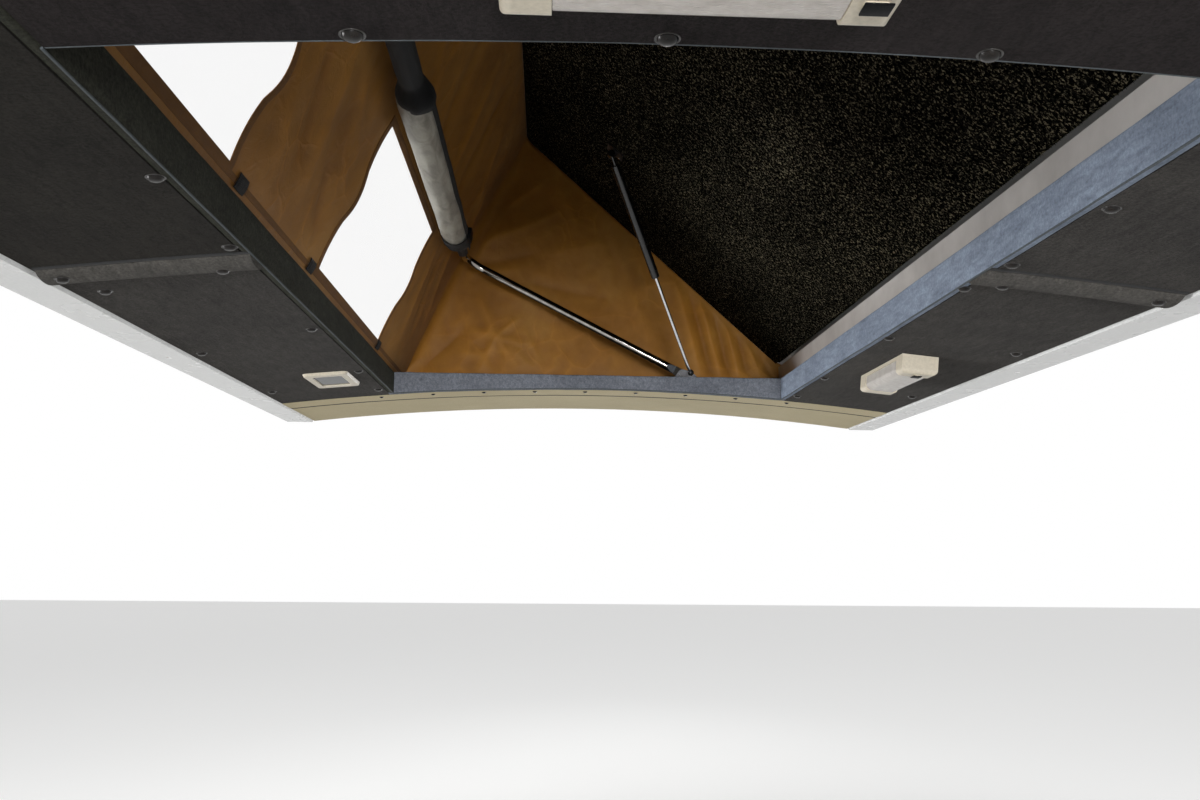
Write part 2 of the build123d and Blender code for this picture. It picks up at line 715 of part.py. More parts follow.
# Soft rounds that hang from the hoop's bar, close under the closed lid: name, radius, and the stretches
# of y they cover
soft_rounds = (
    ("hoop_sleeve", sleeve_radius, ((fit - roll_inner_y, roll_inner_y - fit),)),
    ("blind_rolls", roll_radius, ((-roll_outer_y, -roll_inner_y), (roll_inner_y, roll_outer_y))),
)
for name, radius, stretches in soft_rounds:
    with BuildPart() as soft_round:
        for y_low, y_high in stretches:
            with BuildSketch(Plane.XZ.offset(-y_low)):
                with Locations((hoop_bar_x, board_low - roll_top_gap - radius)):
                    Circle(radius)
            extrude(amount=y_low - y_high)
        with BuildSketch(Plane.XZ):
            with Locations((hoop_bar_x, pivot_z)):
                Circle(hoop_tube_radius + fit)
        extrude(amount=hoop_plane_y, both=True, mode=Mode.SUBTRACT)
    save(lifted(soft_round.part), name)

# Tapered boots that close the outer ends of the rolls, each a cone that leans from the roll to the tube
with BuildPart() as hoop_boots:
    boot_start = roll_outer_y + fit
    boot_end = boot_start + boot_length
    for sign in (-1, 1):
        wide_end = Vector(hoop_bar_x, sign * boot_start, board_low - roll_top_gap - roll_radius)
        narrow_end = Vector(hoop_bar_x, sign * boot_end, pivot_z)
        lean = narrow_end - wide_end
        narrowing = (roll_radius - fit - boot_radius) / lean.length
        with BuildSketch(Plane(origin=wide_end, z_dir=lean).offset(-boot_overrun)):
            Circle(roll_radius - fit + boot_overrun * narrowing)
        extrude(amount=lean.length + 2 * boot_overrun, taper=degrees(atan(narrowing)))
    boot_x = (hoop_bar_x - 2 * roll_radius, hoop_bar_x + 2 * roll_radius)
    slab(boot_x, (-boot_end, boot_end), (0, 2 * pivot_z), mode=Mode.INTERSECT)
    slab(boot_x, (-boot_start, boot_start), (0, 2 * pivot_z), mode=Mode.SUBTRACT)
    with BuildSketch(Plane.XZ):
        with Locations((hoop_bar_x, pivot_z)):
            Circle(hoop_tube_radius + fit)
    extrude(amount=hoop_plane_y, both=True, mode=Mode.SUBTRACT)
save(lifted(hoop_boots.part), "hoop_boots")


def ball(x, y, z):
    """A strut's ball, turned as two cones inside its sphere so that it stays light to draw."""
    flat = ball_radius * cos(radians(60))
    rise = ball_radius * sin(radians(60))
    with BuildSketch(Plane.XY.offset(z)) as half_ball:
        with BuildLine():
            ends = ((x, y - rise), (x + flat, y - rise)), ((x + flat, y + rise), (x, y + rise))
            Polyline(*ends[0], (x + ball_radius, y), *ends[1], close=True)
        make_face()
    revolve(half_ball.sketch, axis=Axis((x, y, z), (0, 1, 0)))


# Brackets on the end shelves: an ear with the hoop's pivot bolt and the strut's ball stud
foot_x = pivot_x + strut_foot_offset
foot_y = ear_outer_y - bracket_gauge - stud_length
with BuildPart() as brackets:
    for sign in (-1, 1):
        plate_low = rim_top + fit
        plate_x = (pivot_x - bracket_plate_ends[0], foot_x + bracket_plate_ends[1])
        plate_y = (sign * (ear_outer_y - bracket_plate_inner), sign * (ear_outer_y + bracket_plate_outer))
        slab(plate_x, plate_y, (plate_low, plate_low + bracket_plate))
        with BuildSketch(Plane.XZ.offset(-sign * ear_outer_y)):
            with Locations((pivot_x, pivot_z)):
                Circle(bracket_ear_radius)
            with Locations((foot_x, pivot_z)):
                Circle(strut_ear_radius)
            with Locations(((pivot_x + foot_x) / 2, plate_low + bracket_plate / 2)):
                Rectangle(2 * bracket_foot, bracket_plate)
            make_hull()
        extrude(amount=sign * bracket_gauge)
        ear_inner_y = ear_outer_y - bracket_gauge
        nut_y = hoop_plane_y + eye_gauge / 2 + fit
        for inner, outer in (
            (ear_inner_y - bolt_head_gauge, ear_inner_y),
            (nut_y, nut_y + nut_gauge),
        ):
            with BuildSketch(Plane.XZ.offset(-sign * inner)):
                with Locations((pivot_x, pivot_z)):
                    RegularPolygon(bolt_head_radius, 6)
            extrude(amount=sign * (inner - outer))
        with BuildSketch(Plane.XZ.offset(-sign * ear_inner_y)):
            with Locations((pivot_x, pivot_z)):
                Circle(pivot_pin_radius)
        extrude(amount=sign * (ear_inner_y - nut_y))
        with BuildSketch(Plane.XZ.offset(-sign * ear_inner_y)):
            with Locations((foot_x, pivot_z)):
                Circle(stud_radius)
        extrude(amount=sign * stud_length)
        ball(foot_x, sign * foot_y, pivot_z)
save(brackets.part, "brackets")

# Strut mounts under the lid board: a plate and an ear with a ball stud
mount_z = board_low - strut_mount_drop
with BuildPart() as strut_mounts:
    for sign in (-1, 1):
        ear_y = strut_mount_y + stud_length
        plate_high = board_low - fit
        plate_x = (strut_mount_x - mount_plate_half, strut_mount_x + mount_plate_half)
        plate_y = (sign * (ear_y - mount_plate_inner), sign * (ear_y + mount_plate_outer))
        slab(plate_x, plate_y, (plate_high - bracket_plate, plate_high))
        with BuildSketch(Plane.XZ.offset(-sign * ear_y)):
            with Locations((strut_mount_x, mount_z)):
                Circle(mount_ear_radius)
            with Locations((strut_mount_x, plate_high - bracket_plate / 2)):
                Rectangle(2 * mount_foot, bracket_plate)
            make_hull()
        extrude(amount=-sign * bracket_gauge)
        with BuildSketch(Plane.XZ.offset(-sign * ear_y)):
            with Locations((strut_mount_x, mount_z)):
                Circle(stud_radius)
        extrude(amount=sign * stud_length)
        ball(strut_mount_x, sign * strut_mount_y, mount_z)
save(raised(strut_mounts.part), "strut_mounts")


def round_along_y(centre, side, radius, start, end, mode=Mode.ADD):
    """A round between two distances from a centre, counted outward along the van."""
    with BuildSketch(Plane(origin=centre, z_dir=(0, side, 0)).offset(start)) as disc:
        Circle(radius)
    extrude(disc.sketch, amount=end - start, mode=mode)


# Gas struts, drawn along the line between their balls with the lid up
head_place = turned(strut_mount_x, mount_z, lid_axis, lid_angle)
for end, sign in (("front", 1), ("rear", -1)):
    head = Vector(head_place.X, sign * strut_mount_y, head_place.Y)
    foot = Vector(foot_x, sign * foot_y, pivot_z)
    strut_length = (foot - head).length
    strut_plane = Plane(origin=head, z_dir=foot - head)
    with BuildPart() as cylinder:
        with BuildSketch(strut_plane.offset(cylinder_start)):
            Circle(cylinder_radius)
        extrude(amount=cylinder_length)
        chamfer(cylinder.edges().filter_by(GeomType.CIRCLE), length=cylinder_chamfer)
        with BuildSketch(strut_plane):
            Circle(shank_radius)
        extrude(amount=cylinder_start + cylinder_chamfer)
        with BuildSketch(strut_plane.offset(cylinder_start + cylinder_head)):
            Circle(rod_radius + rod_clearance)
        extrude(amount=cylinder_length, mode=Mode.SUBTRACT)
        bore = ball_radius + socket_clearance
        round_along_y(head, sign, socket_radius, -socket_floor, socket_mouth)
        round_along_y(head, sign, bore, -bore, stud_length, Mode.SUBTRACT)
    save(cylinder.part, f"strut_cylinder_{end}")
    rod_start = cylinder_start + cylinder_length - rod_hidden
    with BuildPart() as rod:
        with BuildSketch(strut_plane.offset(rod_start)):
            Circle(rod_radius)
        extrude(amount=strut_length - rod_start)
        round_along_y(foot, sign, socket_radius, -socket_floor, socket_mouth)
        with BuildSketch(Plane.XZ.offset(-sign * (foot_y - socket_floor))):
            for across, up in ((0, 0), *eye_path):
                with Locations((foot_x + across, pivot_z + up)):
                    Circle(ball_radius + eye_clearance)
            make_hull()
        extrude(amount=-sign * (socket_floor + socket_mouth + stud_length), mode=Mode.SUBTRACT)
    save(rod.part, f"strut_rod_{end}")


# Canvas walls, drawn taut with the lid up: a side wall with two windows, which the hoop spreads a
# little, and an end wall under each end of the lid. Points are seen along Y.
corner = turned(board_left, board_low, lid_axis, lid_angle)
hinge_corner = turned(board_right, board_low, lid_axis, lid_angle)
roll_centre = turned(hoop_bar_x, board_low - roll_top_gap - roll_radius, hoop_axis, hoop_angle)
canvas_x = -upstand_outer_x - fit
canvas_turn = side_upstand_top + canvas_rise
wall_turn = Vector(canvas_x, canvas_turn)
chord = (corner - wall_turn).normalized()
outward = chord.rotate(Axis.Z, 90)
wall_knee = roll_centre + outward * (roll_radius + canvas_hoop_gap)
wall_top = corner + outward * fit
wall_inside = (Vector(canvas_x, canvas_turn - canvas_hem), wall_turn, wall_knee, wall_top)
lower_run = (wall_knee - wall_turn).normalized()
wall_plane = Plane(
    origin=(canvas_x, 0, canvas_turn), x_dir=(0, -1, 0), z_dir=(-lower_run.Y, 0, lower_run.X)
)


def set_off(points, amount):
    """The points of a run moved to its left by an even amount, mitred at the corners."""
    sides = [(b - a).normalized().rotate(Axis.Z, 90) for a, b in zip(points, points[1:])]
    before, after = [sides[0], *sides], [*sides, sides[-1]]
    return [point + (a + b) * (amount / (1 + a.dot(b))) for point, a, b in zip(points, before, after)]


def window_sketch(shrink):
    """The two windows on the wall's plane, each upright edge a run of arcs that bow alternately."""
    with BuildSketch() as windows:
        for middle in (-window_middle_y, window_middle_y):
            with BuildLine():
                level = window_low
                for rise, bow in window_wave:
                    for x in (-middle - window_length / 2, -middle + window_length / 2):
                        ThreePointArc((x, level), (x - bow, level + rise / 2), (x, level + rise))
                    level += rise
                for sill in (window_low, level):
                    Line((-middle - window_length / 2, sill), (-middle + window_length / 2, sill))
            make_face()
        if shrink:
            offset(amount=-shrink)
    return windows.sketch


wall_outside = set_off(wall_inside, canvas_gauge)
with BuildPart() as canvas:
    with BuildSketch(Plane.XZ):
        with BuildLine():
            Polyline(*wall_inside, *reversed(wall_outside), close=True)
        make_face()
    extrude(amount=end_wall_y + canvas_gauge, both=True)
    with BuildSketch(wall_plane.offset(-canvas_gauge)):
        add(window_sketch(0))
    extrude(amount=3 * canvas_gauge, mode=Mode.SUBTRACT)
    # The end walls reach half way up the edge of the lid's board
    half_edge = Vector(sin(radians(lid_angle)), cos(radians(lid_angle))) * (board_gauge / 2)
    end_foot = end_upstand_top - canvas_end_hem
    end_outline = (
        Vector(canvas_x - canvas_gauge, end_foot),
        *wall_outside[1:],
        corner + half_edge,
        hinge_corner + half_edge,
        Vector(kerb_outer_x - canvas_kerb_inset, kerb_top),
        Vector(kerb_outer_x - canvas_kerb_inset, end_foot),
    )
    for sign in (-1, 1):
        with BuildSketch(Plane.XZ.offset(-sign * end_wall_y)):
            with BuildLine():
                Polyline(*end_outline, close=True)
            make_face()
        extrude(amount=-sign * canvas_gauge)
save(canvas.part, "canvas")

with BuildPart() as canvas_windows:
    with BuildSketch(wall_plane.offset(pane_gap)):
        add(window_sketch(fit))
    extrude(amount=pane_gauge)
save(canvas_windows.part, "canvas_windows")

# Flat bars that clamp the canvas to the upstands
with BuildPart() as canvas_clamp:
    side_clamp_x = canvas_x - canvas_gauge - fit
    side_low = canvas_turn - canvas_hem + clamp_gauge / 2
    side_y = frame_half_length - clamp_end_inset
    slab((side_clamp_x - clamp_gauge, side_clamp_x), (-side_y, side_y), (side_low, side_low + clamp_height))
    for sign in (-1, 1):
        clamp_y = end_wall_y + canvas_gauge + fit
        end_low = end_foot + clamp_gauge / 2
        slab(
            (-cut_x + clamp_upstand_inset, kerb_outer_x - clamp_kerb_inset),
            (sign * clamp_y, sign * (clamp_y + clamp_gauge)),
            (end_low, end_low + clamp_height),
        )
save(canvas_clamp.part, "canvas_clamp")
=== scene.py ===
from math import atan2, cos, exp, hypot, pi, radians, sin, sqrt

import bmesh
import bpy
from mathutils import Matrix, Vector, noise


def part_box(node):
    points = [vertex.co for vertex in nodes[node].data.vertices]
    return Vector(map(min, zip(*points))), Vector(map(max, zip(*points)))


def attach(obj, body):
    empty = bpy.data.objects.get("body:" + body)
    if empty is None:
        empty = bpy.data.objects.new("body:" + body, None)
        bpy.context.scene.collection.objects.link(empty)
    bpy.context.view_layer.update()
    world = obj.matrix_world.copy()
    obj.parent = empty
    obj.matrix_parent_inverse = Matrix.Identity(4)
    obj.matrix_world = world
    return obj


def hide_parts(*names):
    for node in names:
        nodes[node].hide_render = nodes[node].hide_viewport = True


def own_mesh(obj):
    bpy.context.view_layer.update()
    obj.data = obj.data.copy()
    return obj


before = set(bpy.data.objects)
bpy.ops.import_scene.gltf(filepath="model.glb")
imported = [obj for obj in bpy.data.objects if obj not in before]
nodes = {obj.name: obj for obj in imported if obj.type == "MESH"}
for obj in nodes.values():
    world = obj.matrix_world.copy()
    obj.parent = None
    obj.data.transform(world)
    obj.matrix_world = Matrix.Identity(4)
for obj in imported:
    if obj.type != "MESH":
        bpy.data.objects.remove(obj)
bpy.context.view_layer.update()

roof = {
    "crownRadius": 6.0,
    "panelTop": 0.070,
    "ceilingDrop": 0.0222,  # from the panel's top to the ceiling's face
    "openingX": 0.4625,
    "openingY": 1.055,
    "rimTop": 0.080,
    "frameY": 1.272,
    "headerEdgeY": -0.690,
}
lid = {"hinge": (0.55, 0.0, 0.13), "angle": 42.0, "boardLow": 0.113, "boardRight": 0.495}


def turnedUp(pivot, angle):
    pivot = Vector(pivot)
    return Matrix.Translation(pivot) @ Matrix.Rotation(radians(angle), 4, "Y") @ Matrix.Translation(-pivot)


lidTurn = turnedUp(lid["hinge"], lid["angle"])


def crownHeight(x, drop=roof["ceilingDrop"]):
    radius = roof["crownRadius"] - drop
    return roof["panelTop"] - drop - radius + sqrt(radius * radius - x * x)


def ease(value):
    value = min(1.0, max(0.0, value))
    return value * value * (3 - 2 * value)


def humAt(*place):
    # smooth noise, the same each run
    return noise.noise(Vector(place))


def evenly(low, high, step):
    count = max(2, round((high - low) / step))
    return [low + (high - low) * index / count for index in range(count + 1)]


def inMetres(table):
    return [tuple(part / 1000 for part in row) for row in table]


# Picking, editing and finishing, as by hand


def clearChoice():
    if bpy.context.mode != "OBJECT":
        bpy.ops.object.mode_set(mode="OBJECT")
    bpy.ops.object.select_all(action="DESELECT")


def choose(*pieces):
    clearChoice()
    for piece in pieces:
        piece.select_set(True)
    bpy.context.view_layer.objects.active = pieces[0]


def editParts(piece, kind, rule):
    choose(piece)
    bpy.ops.object.mode_set(mode="EDIT")
    bpy.ops.mesh.select_mode(type=kind)
    bpy.ops.mesh.select_all(action="DESELECT")
    mesh = bmesh.from_edit_mesh(piece.data)
    mesh.normal_update()
    for part in mesh.faces if kind == "FACE" else mesh.edges:
        part.select_set(bool(rule(part)))
    bmesh.update_edit_mesh(piece.data)


def editFaces(piece, rule):
    editParts(piece, "FACE", rule)


def editEdges(piece, rule):
    editParts(piece, "EDGE", rule)


def doneEditing():
    bpy.ops.object.mode_set(mode="OBJECT")


def applyModifier(piece, kind, **values):
    choose(piece)
    modifier = piece.modifiers.new(kind, kind)
    for name, value in values.items():
        setattr(modifier, name, value)
    bpy.ops.object.modifier_apply(modifier=modifier.name)


def smooth(piece, angle=40.0):
    choose(piece)
    bpy.ops.object.shade_smooth_by_angle(angle=radians(angle))


def settle(piece, place=None):
    # puts the place of a piece into its mesh
    if place is not None:
        piece.matrix_world = place @ piece.matrix_world
        bpy.context.view_layer.update()
    choose(piece)
    bpy.ops.object.transform_apply(location=True, rotation=True, scale=True)


def disc(points, radius, depth, z):
    bpy.ops.mesh.primitive_cylinder_add(vertices=points, radius=radius, depth=depth, location=(0, 0, z))
    return bpy.context.view_layer.objects.active


def linked(name, data):
    piece = bpy.data.objects.new(name, data)
    bpy.context.scene.collection.objects.link(piece)
    return piece


def copied(piece, place):
    twin = linked(piece.name, piece.data.copy())
    settle(twin, place)
    return twin


def block(size, place=(0, 0, 0)):
    bpy.ops.mesh.primitive_cube_add(size=1, location=place)
    piece = bpy.context.view_layer.objects.active
    piece.scale = size
    settle(piece)
    return piece


def joined(name, pieces):
    choose(*pieces)
    if len(pieces) > 1:
        bpy.ops.object.join()
    piece = bpy.context.view_layer.objects.active
    piece.name = name
    piece.data.name = name
    return piece


def painted(piece, *finishes):
    piece.data.materials.clear()
    for finish in finishes:
        piece.data.materials.append(finish)
    return piece


def fitted(piece, name, body):
    piece.name = name
    piece.data.name = name
    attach(piece, body)
    return piece


def faceOut(piece):
    choose(piece)
    bpy.ops.object.mode_set(mode="EDIT")
    bpy.ops.mesh.select_all(action="SELECT")
    bpy.ops.mesh.normals_make_consistent(inside=False)
    doneEditing()


def gridPiece(name, rows, closed=False, caps=False, drop=None, uv=None):
    # a mesh woven from rows of points
    count = len(rows[0])
    points = [point for row in rows for point in row]
    faces = []
    for i in range(len(rows) - 1):
        for j in range(count if closed else count - 1):
            if drop and drop(i, j):
                continue
            k = (j + 1) % count
            faces.append((i * count + j, i * count + k, (i + 1) * count + k, (i + 1) * count + j))
    if caps:
        faces.append(tuple(range(count - 1, -1, -1)))
        faces.append(tuple(range(len(points) - count, len(points))))
    mesh = bpy.data.meshes.new(name)
    mesh.from_pydata(points, [], faces)
    if uv:
        layer = mesh.uv_layers.new(name="cloth")
        flat = [place for row in uv for place in row]
        for loop in mesh.loops:
            layer.data[loop.index].uv = flat[loop.vertex_index]
    return linked(name, mesh)


def tubePiece(name, rows, uv=None):
    return gridPiece(name, rows, closed=True, caps=True, uv=uv)


def ovalRow(middle, wide, high, points=6, lengthwise=False):
    # points round a small oval that stands across the van or along it
    row = []
    for index in range(points):
        reach = wide * cos(index * pi / (points / 2))
        rise = high * sin(index * pi / (points / 2))
        row.append(Vector(middle) + Vector((0, reach, rise) if lengthwise else (reach, 0, rise)))
    return row


def dressed(piece, finish, angle, gauge=0.0):
    # paints a piece, thickens it where it is a sheet, turns its faces out and smooths it
    painted(piece, materials[finish])
    if gauge:
        applyModifier(piece, "SOLIDIFY", thickness=gauge, offset=0.0)
    faceOut(piece)
    smooth(piece, angle)
    return piece


# Materials

materials = {}


def newMaterial(name, **sockets):
    material = bpy.data.materials.new(name)
    material.use_nodes = True
    shader = material.node_tree.nodes["Principled BSDF"]
    for socket, value in sockets.items():
        shader.inputs[socket.replace("_", " ")].default_value = value
    materials[name] = material
    return material, material.node_tree, shader


def objectPlace(tree, scale=(1, 1, 1), turn=(0, 0, 0)):
    place = tree.nodes.new("ShaderNodeTexCoord")
    mapping = tree.nodes.new("ShaderNodeMapping")
    mapping.inputs["Scale"].default_value = scale
    mapping.inputs["Rotation"].default_value = turn
    tree.links.new(place.outputs["Object"], mapping.inputs["Vector"])
    return mapping.outputs["Vector"]


def clothPlace(tree):
    place = tree.nodes.new("ShaderNodeUVMap")
    place.uv_map = "cloth"
    return place.outputs["UV"]


def threadWaves(tree, scale, warp=0.0, detail=2.0, crosswise=False):
    node = tree.nodes.new("ShaderNodeTexWave")
    if crosswise:
        node.bands_direction = "Y"
    for socket, value in (("Scale", scale), ("Distortion", warp), ("Detail", detail)):
        node.inputs[socket].default_value = value
    tree.links.new(clothPlace(tree), node.inputs["Vector"])
    return node.outputs["Fac"]


def grain(tree, place, scale, detail=3.0, rough=0.55, warp=0.0):
    cloud = tree.nodes.new("ShaderNodeTexNoise")
    for socket, value in (("Scale", scale), ("Detail", detail), ("Roughness", rough), ("Distortion", warp)):
        cloud.inputs[socket].default_value = value
    tree.links.new(place, cloud.inputs["Vector"])
    return cloud.outputs["Fac"]


def ramp(tree, source, *stops):
    node = tree.nodes.new("ShaderNodeValToRGB")
    tree.links.new(source, node.inputs["Fac"])
    band = node.color_ramp.elements
    while len(band) < len(stops):
        band.new(0.5)
    for element, (position, tone) in zip(band, stops):
        element.position = position
        element.color = tone if len(tone) == 4 else (*tone, 1.0)
    return node.outputs["Color"]


def blended(tree, first, second, share=None, kind="MIX", amount=0.5):
    node = tree.nodes.new("ShaderNodeMix")
    node.data_type = "RGBA"
    node.blend_type = kind
    node.inputs["Factor"].default_value = amount
    if share is not None:
        tree.links.new(share, node.inputs["Factor"])
    tree.links.new(first, node.inputs["A"])
    tree.links.new(second, node.inputs["B"])
    return node.outputs["Result"]


def multiplied(tree, *colours):
    mixed = colours[0]
    for colour in colours[1:]:
        mixed = blended(tree, mixed, colour, kind="MULTIPLY", amount=1.0)
    return mixed


def summed(tree, first, second, amount):
    node = tree.nodes.new("ShaderNodeMath")
    node.operation = "MULTIPLY_ADD"
    tree.links.new(second, node.inputs[0])
    node.inputs[1].default_value = amount
    tree.links.new(first, node.inputs[2])
    return node.outputs["Value"]


def roughened(tree, shader, height, strength, distance):
    bump = tree.nodes.new("ShaderNodeBump")
    bump.inputs["Strength"].default_value = strength
    bump.inputs["Distance"].default_value = distance
    tree.links.new(height, bump.inputs["Height"])
    tree.links.new(bump.outputs["Normal"], shader.inputs["Normal"])


def surfaced(tree, shader, colour, shine, relief):
    # a colour, a roughness where it varies, and the relief's height, strength and depth
    tree.links.new(colour, shader.inputs["Base Color"])
    if shine:
        tree.links.new(spread(tree, *shine), shader.inputs["Roughness"])
    roughened(tree, shader, *relief)


def spread(tree, source, low, high):
    node = tree.nodes.new("ShaderNodeMapRange")
    node.inputs["To Min"].default_value = low
    node.inputs["To Max"].default_value = high
    tree.links.new(source, node.inputs["Value"])
    return node.outputs["Result"]


def tone(red, green, blue):
    # a colour as a picture shows it, 0 to 255, made linear
    parts = [value / 255 for value in (red, green, blue)]
    return tuple(part / 12.92 if part <= 0.04045 else ((part + 0.055) / 1.055) ** 2.4 for part in parts)


# Brushed lining cloth, of the ceiling and the rims: deep and worn tones, how coarse, how creased. Some are copies
# that hold painted light and shade: the rims are one cloth, lit and shaded, and the rear left ceiling panel and
# the header are the ceiling felt darkened with painted shade
liningCloths = {
    "ceilingFelt": ((56, 54, 52), (80, 77, 74), 1.0),
    # ceiling felt darkened with painted shade, for the rear left panel and the header
    "ceilingFeltPaintedShade": ((36, 34, 31), (54, 51, 47), 1.0),
    "headerFeltPaintedShade": ((34, 30, 30), (50, 45, 45), 1.0),
    # one blue-grey rim cloth in four copies: painted shade on the left, painted light on the right, front and rear
    # in between
    "rimClothPaintedShade": ((44, 45, 38), (68, 68, 59), 0.9),
    "rimClothHalfLit": ((104, 108, 116), (128, 132, 141), 0.9),
    "rimClothPaintedLight": ((128, 139, 156), (152, 164, 183), 0.9),
    "rimClothHalfShaded": ((84, 86, 92), (104, 106, 112), 0.9),
    "stripCloth": ((78, 76, 73), (100, 97, 93), 0.9),
}
for name, (deep, worn, coarse) in liningCloths.items():
    material, tree, shader = newMaterial(name, Sheen_Weight=0.04, Sheen_Roughness=0.5, Specular_IOR_Level=0.02)
    place = objectPlace(tree)
    nap = grain(tree, place, 300 * coarse, 6, 0.8)
    fibres = grain(tree, objectPlace(tree, (1, 0.22, 1), (0, 0, 0.5)), 110, 5, 0.7, 0.5)
    wear = grain(tree, place, 7, 6, 0.65)
    fine = ramp(tree, nap, (0.4, tone(*deep)), (0.6, tone(*worn)))
    streak = ramp(tree, fibres, (0.3, (0.7, 0.7, 0.7)), (0.7, (1.2, 1.2, 1.2)))
    patch = ramp(tree, wear, (0.32, (0.78, 0.78, 0.79)), (0.68, (1.14, 1.14, 1.13)))
    relief = (summed(tree, nap, fibres, 0.8), 0.6, 0.0025)
    surfaced(tree, shader, multiplied(tree, fine, streak, patch), (nap, 0.82, 1.0), relief)

# Beige headliner of the cab, a smooth short pile
material, tree, shader = newMaterial("cabHeadliner", Sheen_Weight=0.1, Specular_IOR_Level=0.05)
place = objectPlace(tree)
pile = grain(tree, place, 900, 3, 0.6)
soil = grain(tree, place, 4, 4, 0.6)
fine = ramp(tree, pile, (0.3, tone(186, 172, 136)), (0.7, tone(208, 195, 158)))
patch = ramp(tree, soil, (0.3, (0.9, 0.89, 0.86)), (0.7, (1.05, 1.05, 1.05)))
surfaced(tree, shader, multiplied(tree, fine, patch), (pile, 0.75, 0.95), (pile, 0.25, 0.0008))

# Black lining carpet of the lid, flecked with grey and brown
material, tree, shader = newMaterial("lidCarpet", Sheen_Weight=0.0, Specular_IOR_Level=0.0, Roughness=1.0)
place = objectPlace(tree)
pile = grain(tree, place, 160, 5, 0.8, 0.4)
fleck = grain(tree, place, 235, 3, 0.7, 0.5)
soil = grain(tree, objectPlace(tree, (1, 0.5, 1)), 6, 4, 0.6)
base = ramp(tree, pile, (0.42, tone(1, 1, 1)), (0.54, tone(8, 8, 7)), (0.66, tone(44, 42, 37)))
flecks = ramp(tree, fleck, (0.54, (0, 0, 0)), (0.61, tone(92, 86, 72)), (0.68, tone(140, 130, 108)))
patch = ramp(tree, soil, (0.3, (0.55, 0.55, 0.55)), (0.7, (1.25, 1.23, 1.18)))
flecked = blended(tree, base, flecks, kind="ADD", amount=0.9)
surfaced(tree, shader, multiplied(tree, flecked, patch), None, (summed(tree, pile, fleck, 0.5), 0.9, 0.003))

# Coated canvas of the walls: ochre brown, with painted shade in the valleys of its folds and painted highlight on
# their ridges
material, tree, shader = newMaterial(
    "coatedCanvas", Specular_IOR_Level=0.18, Coat_Weight=0.05, Coat_Roughness=0.4, Sheen_Weight=0.05
)
place = objectPlace(tree)
weave = threadWaves(tree, 260, 0.6, 1.0)
woof = threadWaves(tree, 260, 0.6, crosswise=True)
threads = summed(tree, weave, woof, 1.0)
stain = grain(tree, place, 3.2, 5, 0.6, 0.4)
cloud = grain(tree, place, 14, 4, 0.6, 0.8)
crumple = grain(tree, place, 34, 4, 0.65, 1.2)
fold = tree.nodes.new("ShaderNodeAttribute")
fold.attribute_name = "fold"
ground = ramp(tree, stain, (0.28, tone(132, 86, 24)), (0.5, tone(152, 104, 38)), (0.74, tone(168, 124, 60)))
mottle = ramp(tree, cloud, (0.3, (0.9, 0.89, 0.87)), (0.7, (1.06, 1.06, 1.06)))
# painted shade in the fold valleys and painted highlight on the fold ridges, read from the fold marks
depth = ramp(tree, fold.outputs["Fac"], (0.0, (0.78, 0.74, 0.68)), (0.5, (1, 1, 1)), (1.0, (1.22, 1.22, 1.25)))
# Sharp crease lines of stiff coated cloth, strongest in patches
drift = tree.nodes.new("ShaderNodeTexNoise")
drift.inputs["Scale"].default_value = 9
tree.links.new(place, drift.inputs["Vector"])
drifted = tree.nodes.new("ShaderNodeVectorMath")
drifted.operation = "MULTIPLY_ADD"
tree.links.new(drift.outputs["Color"], drifted.inputs[0])
drifted.inputs[1].default_value = (0.09, 0.09, 0.09)
tree.links.new(place, drifted.inputs[2])
shards = tree.nodes.new("ShaderNodeTexVoronoi")
shards.feature = "DISTANCE_TO_EDGE"
shards.inputs["Scale"].default_value = 11
tree.links.new(drifted.outputs["Vector"], shards.inputs["Vector"])
ridge = ramp(tree, shards.outputs["Distance"], (0.0, (1, 1, 1)), (0.06, (0.35, 0.35, 0.35)), (0.2, (0, 0, 0)))
where = ramp(tree, grain(tree, place, 5, 2, 0.5), (0.42, (0, 0, 0)), (0.62, (1, 1, 1)))
creases = multiplied(tree, ridge, where)
lineTint = ramp(tree, creases, (0.0, (1, 1, 1)), (1.0, (1.2, 1.18, 1.16)))
colour = multiplied(tree, ground, mottle, depth, lineTint)
surface = summed(tree, summed(tree, crumple, threads, 0.05), creases, 0.8)
surfaced(tree, shader, colour, (cloud, 0.46, 0.62), (surface, 0.35, 0.004))

